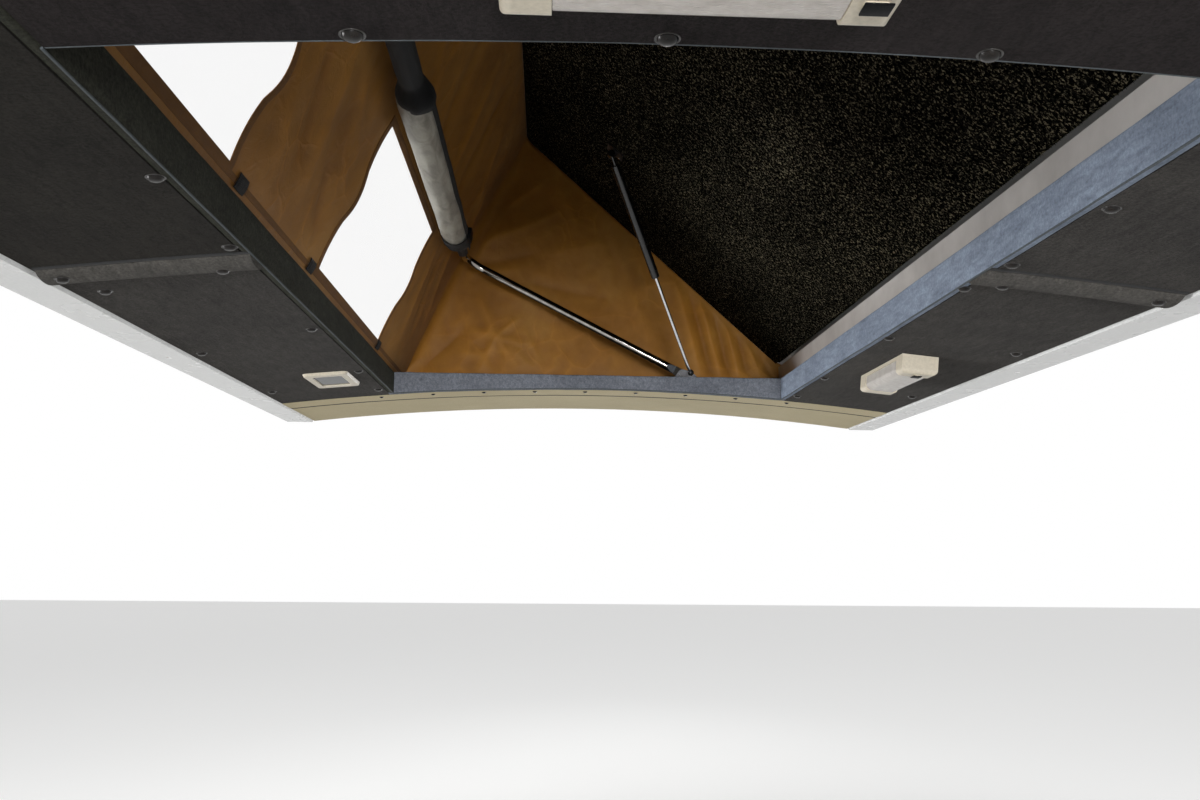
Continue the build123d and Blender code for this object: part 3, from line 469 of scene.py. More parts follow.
# Plain trims, castings and coatings: tones, roughness, metal, grain scale, bump, further sockets
plainFinishes = {
    "windowFilm": ((246, 248, 250), (254, 255, 255), (0.06, 0.14), 0.0, 30, (0.02, 0.0003),
                   {"Alpha": 0.05, "IOR": 1.3}),
    "clearDiffuser": ((220, 213, 206), (240, 235, 229), (0.16, 0.3), 0.0, 90, (0.1, 0.0004),
                      {"Transmission_Weight": 0.35, "IOR": 1.45}),
    "lampShell": ((206, 196, 176), (222, 212, 192), (0.32, 0.5), 0.0, 260, (0.12, 0.0003), {}),
    "spotGlass": ((6, 14, 15), (16, 32, 33), (0.05, 0.12), 0.0, 24, (0.05, 0.0005), {"Specular_IOR_Level": 0.12}),
    "switchRocker": ((8, 8, 9), (18, 18, 19), (0.45, 0.6), 0.0, 400, (0.2, 0.0003), {"Specular_IOR_Level": 0.08}),
    "buttonCap": ((12, 10, 9), (30, 25, 21), (0.2, 0.32), 0.0, 160, (0.08, 0.0003), {"Specular_IOR_Level": 0.25}),
    "buttonRing": ((34, 32, 30), (58, 55, 52), (0.3, 0.5), 0.0, 200, (0.1, 0.0003), {}),
    "vanPaint": ((226, 227, 226), (238, 239, 238), (0.2, 0.34), 0.0, 220, (0.04, 0.0003),
                 {"Coat_Weight": 0.6, "Coat_Roughness": 0.06}),
    "lidGelcoat": ((228, 228, 224), (236, 236, 232), (0.2, 0.3), 0.0, 160, (0.03, 0.0003),
                   {"Coat_Weight": 0.5, "Coat_Roughness": 0.1}),
    "frameGelcoat": ((176, 172, 168), (204, 200, 196), (0.3, 0.5), 0.0, 9, (0.06, 0.0006), {}),
    "bowZinc": ((138, 142, 146), (172, 176, 180), (0.3, 0.5), 0.9, 34, (0.1, 0.0004), {}),
    "hoopChrome": ((138, 134, 128), (172, 168, 162), (0.08, 0.16), 1.0, 60, (0.04, 0.0002), {}),
    "rodChrome": ((206, 206, 208), (232, 232, 234), (0.05, 0.1), 1.0, 90, (0.02, 0.0002), {}),
    "strutEnamel": ((10, 10, 11), (22, 22, 23), (0.22, 0.34), 0.0, 300, (0.06, 0.0002), {"Coat_Weight": 0.3}),
    "bracketPlate": ((60, 60, 62), (92, 92, 94), (0.36, 0.5), 0.85, 80, (0.1, 0.0003), {}),
    "hingeSteel": ((120, 122, 124), (160, 162, 164), (0.28, 0.44), 0.95, 70, (0.08, 0.0003), {}),
    "clampAlloy": ((152, 154, 156), (186, 188, 190), (0.3, 0.46), 0.9, 60, (0.08, 0.0003), {}),
    "screwHead": ((150, 150, 150), (190, 190, 190), (0.2, 0.34), 1.0, 140, (0.05, 0.0002), {}),
    "sealRubber": ((16, 16, 17), (34, 34, 35), (0.6, 0.8), 0.0, 320, (0.2, 0.0004), {}),
    "rimLip": ((206, 208, 210), (226, 228, 230), (0.4, 0.55), 0.0, 60, (0.08, 0.0003), {}),
    "linePiping": ((62, 67, 70), (88, 95, 99), (0.7, 0.9), 0.0, 500, (0.2, 0.0004), {}),
}
for name, (deep, worn, shine, metal, scale, relief, sockets) in plainFinishes.items():
    material, tree, shader = newMaterial(name, Metallic=metal, **sockets)
    place = objectPlace(tree)
    speckle = grain(tree, place, scale, 5, 0.6)
    haze = grain(tree, place, 7, 4, 0.55, 0.3)
    fine = ramp(tree, speckle, (0.3, tone(*deep)), (0.7, tone(*worn)))
    patch = ramp(tree, haze, (0.3, (0.95, 0.95, 0.95)), (0.7, (1.02, 1.02, 1.02)))
    surfaced(tree, shader, multiplied(tree, fine, patch), (haze, *shine), (speckle, *relief))

# Woven fabrics of the blind rolls and their straps, in threads along the piece's own cloth map
wovenFinishes = {
    "silverBlind": ((104, 101, 92), (168, 165, 154), (0.34, 0.5), 0.35, 520, 0.3),
    "blackCover": ((9, 9, 10), (27, 27, 28), (0.6, 0.8), 0.0, 620, 0.5),
    "blackWebbing": ((10, 10, 11), (30, 30, 31), (0.55, 0.75), 0.0, 420, 0.8),
    "canvasBinding": ((98, 63, 24), (124, 84, 38), (0.55, 0.75), 0.0, 520, 0.5),
}
for name, (deep, worn, shine, metal, scale, strength) in wovenFinishes.items():
    material, tree, shader = newMaterial(name, Metallic=metal, Specular_IOR_Level=0.12, Sheen_Weight=0.08)
    threads = threadWaves(tree, scale, 0.5)
    crossed = threadWaves(tree, scale, crosswise=True)
    crease = grain(tree, objectPlace(tree, (1, 0.35, 1)), 42, 4, 0.6, 0.8)
    tint = ramp(tree, crease, (0.28, tone(*deep)), (0.72, tone(*worn)))
    weave = summed(tree, crease, summed(tree, threads, crossed, 1.0), 0.06)
    surfaced(tree, shader, tint, (crease, *shine), (weave, strength, 0.003))
print("materials:", len(materials))


# The finish of each kept node
nodeFinishes = {
    "vanPaint": "roof_skin",
    "bowZinc": "bow_front bow_rear",
    "frameGelcoat": "base_frame",
    "ceilingFelt": "ceiling_left_front ceiling_right_front ceiling_right_rear",
    "ceilingFeltPaintedShade": "ceiling_left_rear",
    "cabHeadliner": "ceiling_front strip_front",
    "headerFeltPaintedShade": "ceiling_rear",
    "rimClothPaintedShade": "rim_left",
    "rimClothPaintedLight": "rim_right",
    "rimClothHalfLit": "rim_front",
    "rimClothHalfShaded": "rim_rear",
    "stripCloth": "strip_left strip_right",
    "lampShell": "spot_lamp side_lamp rear_lamp",
    "spotGlass": "spot_lamp_glass",
    "clearDiffuser": "side_lamp_lens rear_lamp_lens",
    "hingeSteel": "hinge_base hinge_lid",
    "clampAlloy": "canvas_clamp",
    "bracketPlate": "brackets strut_mounts",
    "sealRubber": "kerb_seal lid_seal",
    "coatedCanvas": "canvas",
    "windowFilm": "canvas_windows",
    "lidGelcoat": "lid_shell",
    "lidCarpet": "lid_board",
    "hoopChrome": "hoop_tube",
    "blackCover": "hoop_sleeve hoop_boots",
    "silverBlind": "blind_rolls",
    "strutEnamel": "strut_cylinder_front strut_cylinder_rear",
    "rodChrome": "strut_rod_front strut_rod_rear",
}
for finish, names in nodeFinishes.items():
    for name in names.split():
        slots = nodes[name].data.materials
        for index in range(len(slots)):
            slots[index] = materials[finish]
        if not slots:
            slots.append(materials[finish])


# Canvas walls: one sheet from the hinge side's rear round to its front
canvas = {
    "foot": (-0.4803, 0.061),
    "turn": (-0.4803, 0.084),
    "knee": (-0.3511, 0.3729),
    "top": (-0.1651, 0.7514),
    "endY": 1.2729,
    "hingeFoot": (0.529, 0.078),
    "hingeLow": (0.529, 0.100),
    "hingeKerb": (0.529, 0.145),
    "hingeTop": (0.4978, 0.1542),
    "gauge": 0.0009,
    "sideStep": 0.0112,
    "frontStep": 0.0056,
    "rearStep": 0.0115,
    "endRun": 0.98,
    "bendPoints": 5,
    "bendRoom": 0.034,
    "rowStep": 0.0086,
    "sill": 0.031,
    "lintel": 0.300,
    "windowY": (-0.535, 0.535),
    "windowLength": 0.597,
    "wave": ((0.090, -0.008), (0.090, 0.020), (0.089, -0.008)),
    "flattenTo": 0.110,
}
# Creases: where each starts and ends, its width and its height into the room, in millimetres
frontCreases = inMetres((
    (-238, 212, -308, 230, 12, 7), (-238, 212, -283, 318, 12, 8), (-238, 212, -177, 263, 11, 7),
    (-238, 212, -174, 128, 12, 9), (-238, 212, -278, 119, 13, 7), (-238, 212, -148, 192, 10, 6),
    (-263, 354, -51, 258, 14, 7), (-206, 334, -93, 286, 10, 6), (-179, 363, 50, 318, 20, -6),
    (-309, 239, -430, 124, 26, -10), (-275, 190, -225, 120, 12, -6), (-200, 190, -140, 130, 12, 6),
    (-170, 240, -120, 150, 10, 5), (-330, 170, -260, 160, 14, 6), (-334, 425, -210, 501, 22, 9),
    (-300, 400, -120, 440, 24, -8), (-250, 470, -60, 560, 20, 8), (-215, 560, -110, 640, 20, 8),
    (-330, 380, -180, 392, 14, 6), (-100, 440, 60, 470, 30, 7), (225, 400, 300, 115, 22, 12),
    (262, 372, 330, 115, 14, -10), (295, 330, 352, 115, 13, 12), (332, 300, 376, 115, 12, -10),
    (366, 262, 400, 115, 11, 12), (395, 240, 425, 115, 10, -9), (419, 214, 457, 115, 10, 10),
    (455, 190, 485, 115, 9, -8), (120, 330, 190, 130, 34, 6), (-20, 300, 60, 120, 50, 5),
    (30, 520, 110, 350, 30, -6), (110, 470, 170, 330, 26, 7), (-80, 620, -20, 500, 26, 7),
    (-400, 330, -350, 200, 20, -6),
))
rearCreases = inMetres((
    (-250, 240, -320, 300, 16, 8), (-250, 240, -180, 160, 14, 8), (-250, 240, -300, 130, 16, -7),
    (-220, 420, -40, 330, 22, 8), (-330, 400, -190, 480, 22, 8), (-200, 580, -90, 620, 20, 8),
    (200, 400, 280, 120, 26, 11), (250, 370, 320, 118, 16, -10), (300, 330, 360, 118, 14, 11),
    (350, 290, 395, 118, 12, -10), (395, 240, 430, 118, 11, 10), (435, 205, 468, 118, 10, -8),
    (0, 380, 110, 140, 40, 6), (-100, 340, -20, 120, 40, -6), (-420, 180, -340, 320, 24, -7),
))
sideCreases = inMetres((
    (10, 290, 159, 190, 18, 8), (50, 240, 165, 150, 10, 6), (-140, 270, -50, 110, 26, -10),
    (-60, 290, 20, 90, 26, 9), (60, 160, 150, 60, 20, -7), (-190, 190, -110, 70, 18, 6),
    (-200, 420, 60, 330, 30, -8), (-80, 470, 180, 350, 26, 8), (200, 520, 420, 360, 34, 9),
    (420, 620, 560, 360, 34, -9), (640, 640, 740, 380, 30, 10), (800, 680, 870, 400, 28, -10),
    (930, 300, 1010, 80, 22, 8), (1010, 330, 1110, 100, 22, -8), (1060, 420, 1190, 180, 20, 9),
    (1130, 520, 1235, 330, 20, 8), (950, 620, 1160, 440, 26, 9), (-520, 560, -330, 360, 34, 9),
    (-700, 640, -600, 380, 30, -9), (-900, 320, -1000, 100, 22, 8), (-960, 400, -1120, 180, 22, -8),
    (-1060, 560, -1200, 360, 22, 8), (300, 700, 340, 460, 30, 7), (-360, 700, -300, 460, 30, 7),
))


creaseForm = {"lead": 0.25, "narrow": 0.8, "blunt": 1.3, "share": 0.62, "reach": 4}
crumpleSizes = {"billow": 0.0060, "ripple": 0.0016, "crinkle": 0.0010}


def creaseHeight(a, b, creases):
    total = 0.0
    for a0, b0, a1, b1, width, height in creases:
        run, rise = a1 - a0, b1 - b0
        reach = run * run + rise * rise
        along = ((a - a0) * run + (b - b0) * rise) / reach
        if along < -creaseForm["lead"] or along > 1 + creaseForm["lead"]:
            continue
        gap = abs((a - a0) * rise - (b - b0) * run) / sqrt(reach)
        if gap > creaseForm["reach"] * width:
            continue
        fade = ease((along + 0.15) / 0.4) * ease((1.2 - along) / 0.5)
        hill = exp(-((gap / (creaseForm["narrow"] * width)) ** creaseForm["blunt"]))
        total += creaseForm["share"] * height * fade * hill
    return total


def crumples(a, b, seed):
    # broad billows and small crinkles of coated cloth
    billow = humAt(a * 3.1, b * 3.4, seed)
    ripple = humAt(a * 11 + b * 4, b * 8 - a * 3, seed + 3)
    crinkle = 1 - 2 * abs(humAt(a * 26 + b * 9, b * 22 - a * 12, seed + 7))
    return crumpleSizes["billow"] * billow + crumpleSizes["ripple"] * ripple + crumpleSizes["crinkle"] * crinkle


lowerRun = hypot(canvas["knee"][0] - canvas["turn"][0], canvas["knee"][1] - canvas["turn"][1])
upperRun = hypot(canvas["top"][0] - canvas["knee"][0], canvas["top"][1] - canvas["knee"][1])
wallRise = lowerRun + upperRun
hemDrop = canvas["turn"][1] - canvas["foot"][1]


def between(start, end, share):
    return tuple(a + (b - a) * share for a, b in zip(start, end))


def squareTo(start, end, run):
    (x0, z0), (x1, z1) = canvas[start], canvas[end]
    return (z0 - z1) / run, (x1 - x0) / run


def sidePlace(height):
    # x and z of the side wall at a distance up from where it turns inward, and its outward direction
    if height <= 0:
        return between(canvas["turn"], canvas["foot"], -height / hemDrop), (-1.0, 0.0)
    bend = ease((height - lowerRun + 0.02) / 0.04)
    outward = between(squareTo("turn", "knee", lowerRun), squareTo("knee", "top", upperRun), bend)
    if height <= lowerRun:
        return between(canvas["turn"], canvas["knee"], height / lowerRun), outward
    return between(canvas["knee"], canvas["top"], (height - lowerRun) / upperRun), outward


def hingePlace(height):
    # the matching place on the canvas's edge beside the hinge
    if height <= 0:
        return between(canvas["hingeLow"], canvas["hingeFoot"], -height / hemDrop)
    share = height / wallRise
    if share < 0.58:
        return between(canvas["hingeLow"], canvas["hingeKerb"], share / 0.58)
    return between(canvas["hingeKerb"], canvas["hingeTop"], (share - 0.58) / 0.42)


def waveAt(height):
    level = canvas["sill"]
    for rise, bow in canvas["wave"]:
        if level <= height <= level + rise:
            return bow * (1 - (2 * (height - level) / rise - 1) ** 2)
        level += rise
    return 0.0


windowEdges = [middle + side * canvas["windowLength"] / 2 for middle in canvas["windowY"] for side in (-1, 1)]


def nearWindow(y, height):
    # distance from the nearest window's outline, negative inside it
    nearest = 1.0
    for middle in canvas["windowY"]:
        across = abs(y - waveAt(height) - middle) - canvas["windowLength"] / 2
        up = max(canvas["sill"] - height, height - canvas["lintel"])
        nearest = min(nearest, max(across, up) if max(across, up) < 0 else hypot(max(across, 0), max(up, 0)))
    return nearest


def sideFold(y, height):
    fold = creaseHeight(y, height, sideCreases) + crumples(y, height, 2.0)
    fold *= ease((height - 0.012) / 0.05) * ease((wallRise - 0.004 - height) / 0.05)
    fold *= 0.12 + 0.88 * ease((nearWindow(y, height) - 0.010) / 0.045)
    if abs(y) < 1.10:
        besideRoll = exp(-(((height - lowerRun) / 0.06) ** 2))
        fold = min(fold, 0.012 - 0.0095 * besideRoll)
    return fold


def endFold(x, z, seed, creases):
    boardEdge = canvas["top"][1] - (x - canvas["top"][0]) * 0.9004
    fold = creaseHeight(x, z, creases) + crumples(x, z, seed)
    fold *= ease((z - 0.104) / 0.03) * ease((boardEdge - z) / 0.05)
    return max(-0.020, min(0.020, fold))


def sidePoint(y, height, outwardBy=0.0):
    (x, z), (outX, outZ) = sidePlace(height)
    offset = outwardBy - sideFold(y, height)
    return Vector((x + outX * offset, y, z + outZ * offset))


def cornerRadius(height):
    return 0.0015 + 0.032 * ease((height - 0.018) / 0.09)


def rowHeights():
    heights = []
    spans = ((-hemDrop, 0.0), (0.0, canvas["sill"]), (canvas["sill"], canvas["lintel"]),
             (canvas["lintel"], lowerRun), (lowerRun, wallRise))
    for low, high in spans:
        count = max(1, round((high - low) / canvas["rowStep"]))
        heights += [low + (high - low) * index / count for index in range(count)]
    return [*heights, wallRise]


def sideColumns():
    last = canvas["endY"] - canvas["bendRoom"]
    stops = [-last, *windowEdges, last]
    columns = []
    for low, high in zip(stops, stops[1:]):
        count = round((high - low) / canvas["sideStep"])
        columns += [low + (high - low) * index / count for index in range(count)]
    return [*columns, stops[-1]]


def canvasRow(height, columns):
    # one row of the sheet: each point, how far it stands into the room, and its run along the cloth
    (cornerX, cornerZ), (outX, outZ) = sidePlace(height)
    hingeX, hingeZ = hingePlace(height)
    span = hypot(hingeX - cornerX, hingeZ - cornerZ)
    alongX, alongZ = (hingeX - cornerX) / span, (hingeZ - cornerZ) / span
    radius = cornerRadius(height)
    row = []
    for sign, creases, step, seed in ((-1, rearCreases, canvas["rearStep"], 11.0),
                                      (1, frontCreases, canvas["frontStep"], 5.0)):
        count = round(canvas["endRun"] / step)
        wall = []
        for index in range(count + 1):
            reach = radius + (span - radius) * (index / count) ** 1.04
            x, z = cornerX + alongX * reach, cornerZ + alongZ * reach
            fold = endFold(x, z, seed, creases) * ease(reach / 0.05) * ease((span - reach) / 0.03)
            wall.append((Vector((x, sign * (canvas["endY"] - fold), z)), fold, sign * (canvas["endY"] + reach)))
        bend = []
        for index in range(1, canvas["bendPoints"] + 1):
            share = index / (canvas["bendPoints"] + 1)
            sideBack, endAlong = radius * (1 - share) ** 2, radius * share**2
            place = Vector((cornerX + alongX * endAlong, sign * (canvas["endY"] - sideBack),
                            cornerZ + alongZ * endAlong))
            bend.append((place, 0.0, sign * (canvas["endY"] + radius * (1.6 * share - 0.8))))
        if sign > 0:
            return [*row, *bend, *wall]
        row = [*reversed(wall), *reversed(bend)]
        for y in columns:
            shift = sum(waveAt(height) * max(0.0, 1 - abs(y - edge) / 0.07) for edge in windowEdges)
            stretched = max(0.0, abs(y) - 0.90) / (canvas["endY"] - canvas["bendRoom"] - 0.90)
            y = y + shift + (canvas["bendRoom"] - radius) * stretched**3 * (1 if y > 0 else -1)
            row.append((sidePoint(y, height), sideFold(y, height), y))


def inWindow(y, height):
    return any(abs(y - middle) < canvas["windowLength"] / 2 for middle in canvas["windowY"]) and (
        canvas["sill"] < height < canvas["lintel"]
    )


heights = rowHeights()
columns = sideColumns()
woven = [canvasRow(height, columns) for height in heights]
rearCount = round(canvas["endRun"] / canvas["rearStep"]) + 1 + canvas["bendPoints"]


def overWindow(i, j):
    if j < rearCount or j >= rearCount + len(columns) - 1:
        return False
    middle = (columns[j - rearCount] + columns[j - rearCount + 1]) / 2
    return inWindow(middle, (heights[i] + heights[i + 1]) / 2)


canvasWalls = gridPiece(
    "canvasWalls",
    [[place for place, fold, run in row] for row in woven],
    drop=overWindow,
    uv=[[(run, height) for place, fold, run in row] for row, height in zip(woven, heights)],
)
foldShadingMark = canvasWalls.data.attributes.new("fold", "FLOAT", "POINT")
folds = [[fold for place, fold, run in row] for row in woven]
foldShadingMarks = []
for i in range(len(folds)):
    for j in range(len(folds[i])):
        # a point lies on a ridge where it stands further into the room than its surroundings; the marks lay
        # painted highlight on ridges and painted shade in valleys
        around = [folds[i + di][j + dj]
                  for di, dj in ((-3, 0), (3, 0), (0, -4), (0, 4), (-2, -3), (2, 3), (-2, 3), (2, -3))
                  if 0 <= i + di < len(folds) and 0 <= j + dj < len(folds[i])]
        foldShadingMarks.append(min(1.0, max(0.0, 0.5 + (folds[i][j] - sum(around) / len(around)) * 150)))
foldShadingMark.data.foreach_set("value", foldShadingMarks)
painted(canvasWalls, materials["coatedCanvas"])
canvasWalls.data.update()
applyModifier(canvasWalls, "SOLIDIFY", thickness=canvas["gauge"], offset=-1.0)
faceOut(canvasWalls)
choose(canvasWalls)
bpy.ops.object.shade_smooth()
fitted(canvasWalls, "canvasWalls", "roof")
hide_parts("canvas")
print("canvas walls:", len(canvasWalls.data.polygons), "faces,",
      round(sum(face.area for face in canvasWalls.data.polygons) / 2, 3), "square metres")


# Ribbons sewn on the wall's inner face: bindings round the windows and a seam over the rim's lip
binding = {
    "width": 0.013,
    "standsIn": 0.0006,
    "gauge": 0.0009,
    "seamHeight": 0.0225,
    "seamWidth": 0.008,
    "seamReach": 1.25,
    "step": 0.012,
    "columns": 44,
    "rows": 34,
}


def windowOutline(middle, outBy):
    low, high = canvas["sill"], canvas["lintel"]
    half, wide, tall = canvas["windowLength"] / 2, binding["columns"], binding["rows"]
    levels = [low + (high - low) * index / tall for index in range(tall + 1)]
    across = [middle - half + 2 * half * index / wide for index in range(wide + 1)]
    outline = [(y, low - outBy) for y in across[:-1]]
    outline += [(middle + half + waveAt(level) + outBy, level) for level in levels[:-1]]
    outline += [(y, high + outBy) for y in reversed(across[1:])]
    outline += [(middle - half + waveAt(level) - outBy, level) for level in reversed(levels[1:])]
    corners = ((0, -1, low - outBy), (wide, 1, low - outBy), (wide + tall, 1, high + outBy),
               (2 * wide + tall, -1, high + outBy))
    for index, side, level in corners:
        outline[index] = (middle + side * (half + outBy), level)
    return outline


bindings = []
for middle in canvas["windowY"]:
    rows = []
    for outBy in (-0.0015, binding["width"] / 2, binding["width"]):
        lift = -binding["standsIn"] - (0.0004 if 0 < outBy < binding["width"] else 0.0)
        rows.append([sidePoint(y, level, lift) for y, level in windowOutline(middle, outBy)])
    uv = [[(index * 0.011, row * 0.006) for index in range(len(rows[0]))] for row in range(len(rows))]
    bindings.append(gridPiece("windowBinding", rows, closed=True, uv=uv))
rows = []
for side in (-0.5, 0.0, 0.5):
    lift = -binding["standsIn"] - (0.0 if side else 0.0006)
    rows.append([sidePoint(y, binding["seamHeight"] + side * binding["seamWidth"], lift)
                 for y in evenly(-binding["seamReach"], binding["seamReach"], binding["step"])])
uv = [[(index * binding["step"], row * 0.004) for index in range(len(rows[0]))] for row in range(3)]
bindings.append(gridPiece("lipSeam", rows, uv=uv))
canvasBindings = dressed(joined("canvasBindings", bindings), "canvasBinding", 50, binding["gauge"])
fitted(canvasBindings, "canvasBindings", "roof")

# Clear panes welded to the wall's outer face
pane = {"behind": 0.0016, "overlap": 0.009, "gauge": 0.0008, "columns": 56, "rows": 30}
panes = []
for middle in canvas["windowY"]:
    half = canvas["windowLength"] / 2 + pane["overlap"]
    low, high = canvas["sill"] - pane["overlap"], canvas["lintel"] + pane["overlap"]
    rows = []
    for i in range(pane["rows"] + 1):
        height = low + (high - low) * i / pane["rows"]
        row = []
        for j in range(pane["columns"] + 1):
            y = middle - half + 2 * half * j / pane["columns"] + waveAt(height)
            belly = 0.0018 * humAt(y * 7, height * 9, 20.0)
            row.append(sidePoint(y, height, pane["behind"] + abs(belly)))
        rows.append(row)
    uv = [[(j * 0.011, i * 0.010) for j in range(pane["columns"] + 1)] for i in range(pane["rows"] + 1)]
    panes.append(gridPiece("pane", rows, uv=uv))
windowPanes = dressed(joined("windowPanes", panes), "windowFilm", 60, pane["gauge"])
fitted(windowPanes, "windowPanes", "roof")
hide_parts("canvas_windows")

# The hem that stays under the clamps when the walls fold down
hem = {"low": 0.0600, "high": 0.0815, "endLow": 0.0772, "endHigh": 0.0975, "outward": 0.0013, "gauge": 0.0007,
       "round": 0.020}
hemRows = [[], [], []]
corner = canvas["foot"][0] - hem["outward"]
endY = canvas["endY"] + hem["outward"]
track = []
for sign in (-1, 1):
    ends = [(canvas["hingeFoot"][0] - 0.985 * index / 60, sign * endY, 1.0 - index / 60) for index in range(61)]
    bend = [(corner + hem["round"] * (1 - share) ** 2, sign * (endY - hem["round"] * share**2), 0.0)
            for share in (0.25, 0.5, 0.75)]
    track += [*ends, *bend] if sign < 0 else [*reversed(bend), *reversed(ends)]
    if sign < 0:
        track += [(corner, -1.245 + 2.49 * index / 160, 0.0) for index in range(161)]
for x, y, share in track:
    low = hem["low"] + (hem["endLow"] - hem["low"]) * ease(share)
    high = hem["high"] + (hem["endHigh"] - hem["high"]) * ease(min(1.0, share * 12))
    ripple = 0.0004 * humAt(x * 30, y * 30, 4.0)
    for index in range(3):
        hemRows[index].append(Vector((x, y, low + (high - low) * index / 2 + ripple)))
uv = [[(index * 0.015, row * 0.01) for index in range(len(track))] for row in range(3)]
canvasHem = dressed(gridPiece("canvasHem", hemRows, uv=uv), "canvasBinding", 60, hem["gauge"])
fitted(canvasHem, "canvasHem", "roof")
print("canvas trims: bindings, panes and hem")


# Padded boards round the opening


def sideCounts(corners, radius, step):
    counts = []
    for here, after in zip(corners, [*corners[1:], corners[0]]):
        run = (Vector(after) - Vector(here)).length - 2 * radius
        counts.append(max(1, int(run / step)))
    return counts


def roundedOutline(corners, radius, counts):
    # a closed outline with rounded corners and short straight runs, each point with the way it faces
    outline = []
    count = len(corners)
    for index in range(count):
        before, here, after = corners[index - 1], corners[index], corners[(index + 1) % count]
        backward = Vector(before) - Vector(here)
        forward = Vector(after) - Vector(here)
        cut = min(radius, backward.length * 0.45, forward.length * 0.45)
        start = Vector(here) + backward.normalized() * cut
        stop = Vector(here) + forward.normalized() * cut
        for share in (0, 0.25, 0.5, 0.75, 1):
            outline.append(start * (1 - share) ** 2 + Vector(here) * 2 * share * (1 - share) + stop * share**2)
        following = Vector(corners[(index + 2) % count]) - Vector(after)
        nextCut = min(radius, forward.length * 0.45, following.length * 0.45)
        goal = Vector(after) - forward.normalized() * nextCut
        for part in range(1, counts[index]):
            outline.append(stop.lerp(goal, part / counts[index]))
    facing = []
    for index in range(len(outline)):
        tangent = outline[(index + 1) % len(outline)] - outline[index - 1]
        facing.append(Vector((tangent.y, -tangent.x)).normalized())
    return outline, facing


def paddedBoard(name, corners, stations, placed, radius=0.0045, puff=0.0012, wrinkle=0.0007, seed=0.0, step=0.006):
    # corners(t) gives the board's outline at a station and placed(t, a, b) its place in the room
    rows = []
    uv = []
    first, last = stations[0], stations[-1]
    counts = sideCounts(corners(first), radius, step)
    for t in stations:
        outline, facing = roundedOutline(corners(t), radius, counts)
        swell = ease((t - first) / 0.02) * ease((last - t) / 0.02)
        row, uvRow = [], []
        run = 0.0
        for index, (point, face) in enumerate(zip(outline, facing)):
            run += (point - outline[index - 1]).length if index else 0.0
            crease = humAt(t * 6.5, point.x * 22 + seed, point.y * 22)
            fine = humAt(t * 30, point.x * 40, point.y * 40 + seed)
            out = swell * (puff * 0.5 + wrinkle * crease + 0.25 * wrinkle * fine)
            row.append(placed(t, point.x + face.x * out, point.y + face.y * out))
            uvRow.append((t, run))
        rows.append(row)
        uv.append(uvRow)
    board = tubePiece(name, rows, uv)
    faceOut(board)
    smooth(board, 50)
    return board


rims = {
    "side": 0.0120,
    "end": 0.0250,
    "shelf": 0.0055,
    "shelfX": 0.5045,
    "shelfY": 1.2674,
    "fit": 0.0003,
    "step": 0.012,
    "waves": 0.0016,
}
rimFoot = crownHeight(roof["openingX"])
outerX = roof["openingX"] + rims["side"]
shelfLow = roof["rimTop"] - rims["shelf"]
rimStations = evenly(-roof["openingY"] + rims["fit"], roof["openingY"] - rims["fit"], rims["step"])


def footWave(t, seed):
    return rims["waves"] * humAt(t * 9, seed, 0.0) + 0.0006 * humAt(t * 34, seed, 1.0)


def rimDone(rim, name, node, finish):
    painted(rim, materials[finish])
    fitted(rim, name, "roof")
    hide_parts(node)


rimLeft = paddedBoard(
    "rimLeft",
    lambda y: [(-roof["openingX"], rimFoot - 0.0004 + footWave(y, 1.0)), (-roof["openingX"], roof["rimTop"]),
               (-outerX, roof["rimTop"]), (-outerX, rimFoot)],
    rimStations,
    lambda t, a, b: Vector((a, t, b)), seed=3.0,
)
rimDone(rimLeft, "rimLeft", "rim_left", "rimClothPaintedShade")

rimRight = paddedBoard(
    "rimRight",
    lambda y: [(roof["openingX"], rimFoot - 0.0004 + footWave(y, 5.0)), (outerX, rimFoot),
               (outerX, shelfLow), (rims["shelfX"], shelfLow),
               (rims["shelfX"], roof["rimTop"]), (roof["openingX"], roof["rimTop"])],
    rimStations,
    lambda t, a, b: Vector((a, t, b)), radius=0.0026, seed=9.0,
)
rimDone(rimRight, "rimRight", "rim_right", "rimClothPaintedLight")

endRims = (("rimFront", "rim_front", 1, 0.0, "rimClothHalfLit"), ("rimRear", "rim_rear", -1, 0.0053, "rimClothHalfShaded"))
for name, node, sign, raised, finish in endRims:
    inner, outer, back = roof["openingY"], roof["openingY"] + rims["end"], rims["shelfY"]

    def endCorners(x):
        foot = crownHeight(x) + raised - 0.0003 + (footWave(x, 7.0) * 0.5 if sign > 0 else 0.0)
        lip = 0.0010 * humAt(x * 12, 3.0, sign)
        return [(inner, foot), (outer, foot), (outer, shelfLow), (back, shelfLow), (back, roof["rimTop"]),
                (inner, roof["rimTop"] + lip)]

    board = paddedBoard(
        name, endCorners, evenly(-outerX, outerX, rims["step"]),
        lambda t, a, b: Vector((t, sign * a, b)), radius=0.0030, seed=14.0 + sign, puff=0.0008,
    )
    shelfEnd = paddedBoard(
        name + "Shelf",
        lambda x: [(outer, shelfLow), (back, shelfLow), (back, roof["rimTop"]), (outer, roof["rimTop"])],
        evenly(outerX + rims["fit"], rims["shelfX"], 0.01),
        lambda t, a, b: Vector((t, sign * a, b)), radius=0.0016, wrinkle=0.0002, puff=0.0002,
    )
    rimDone(joined(name, [board, shelfEnd]), name, node, finish)
print("rims")

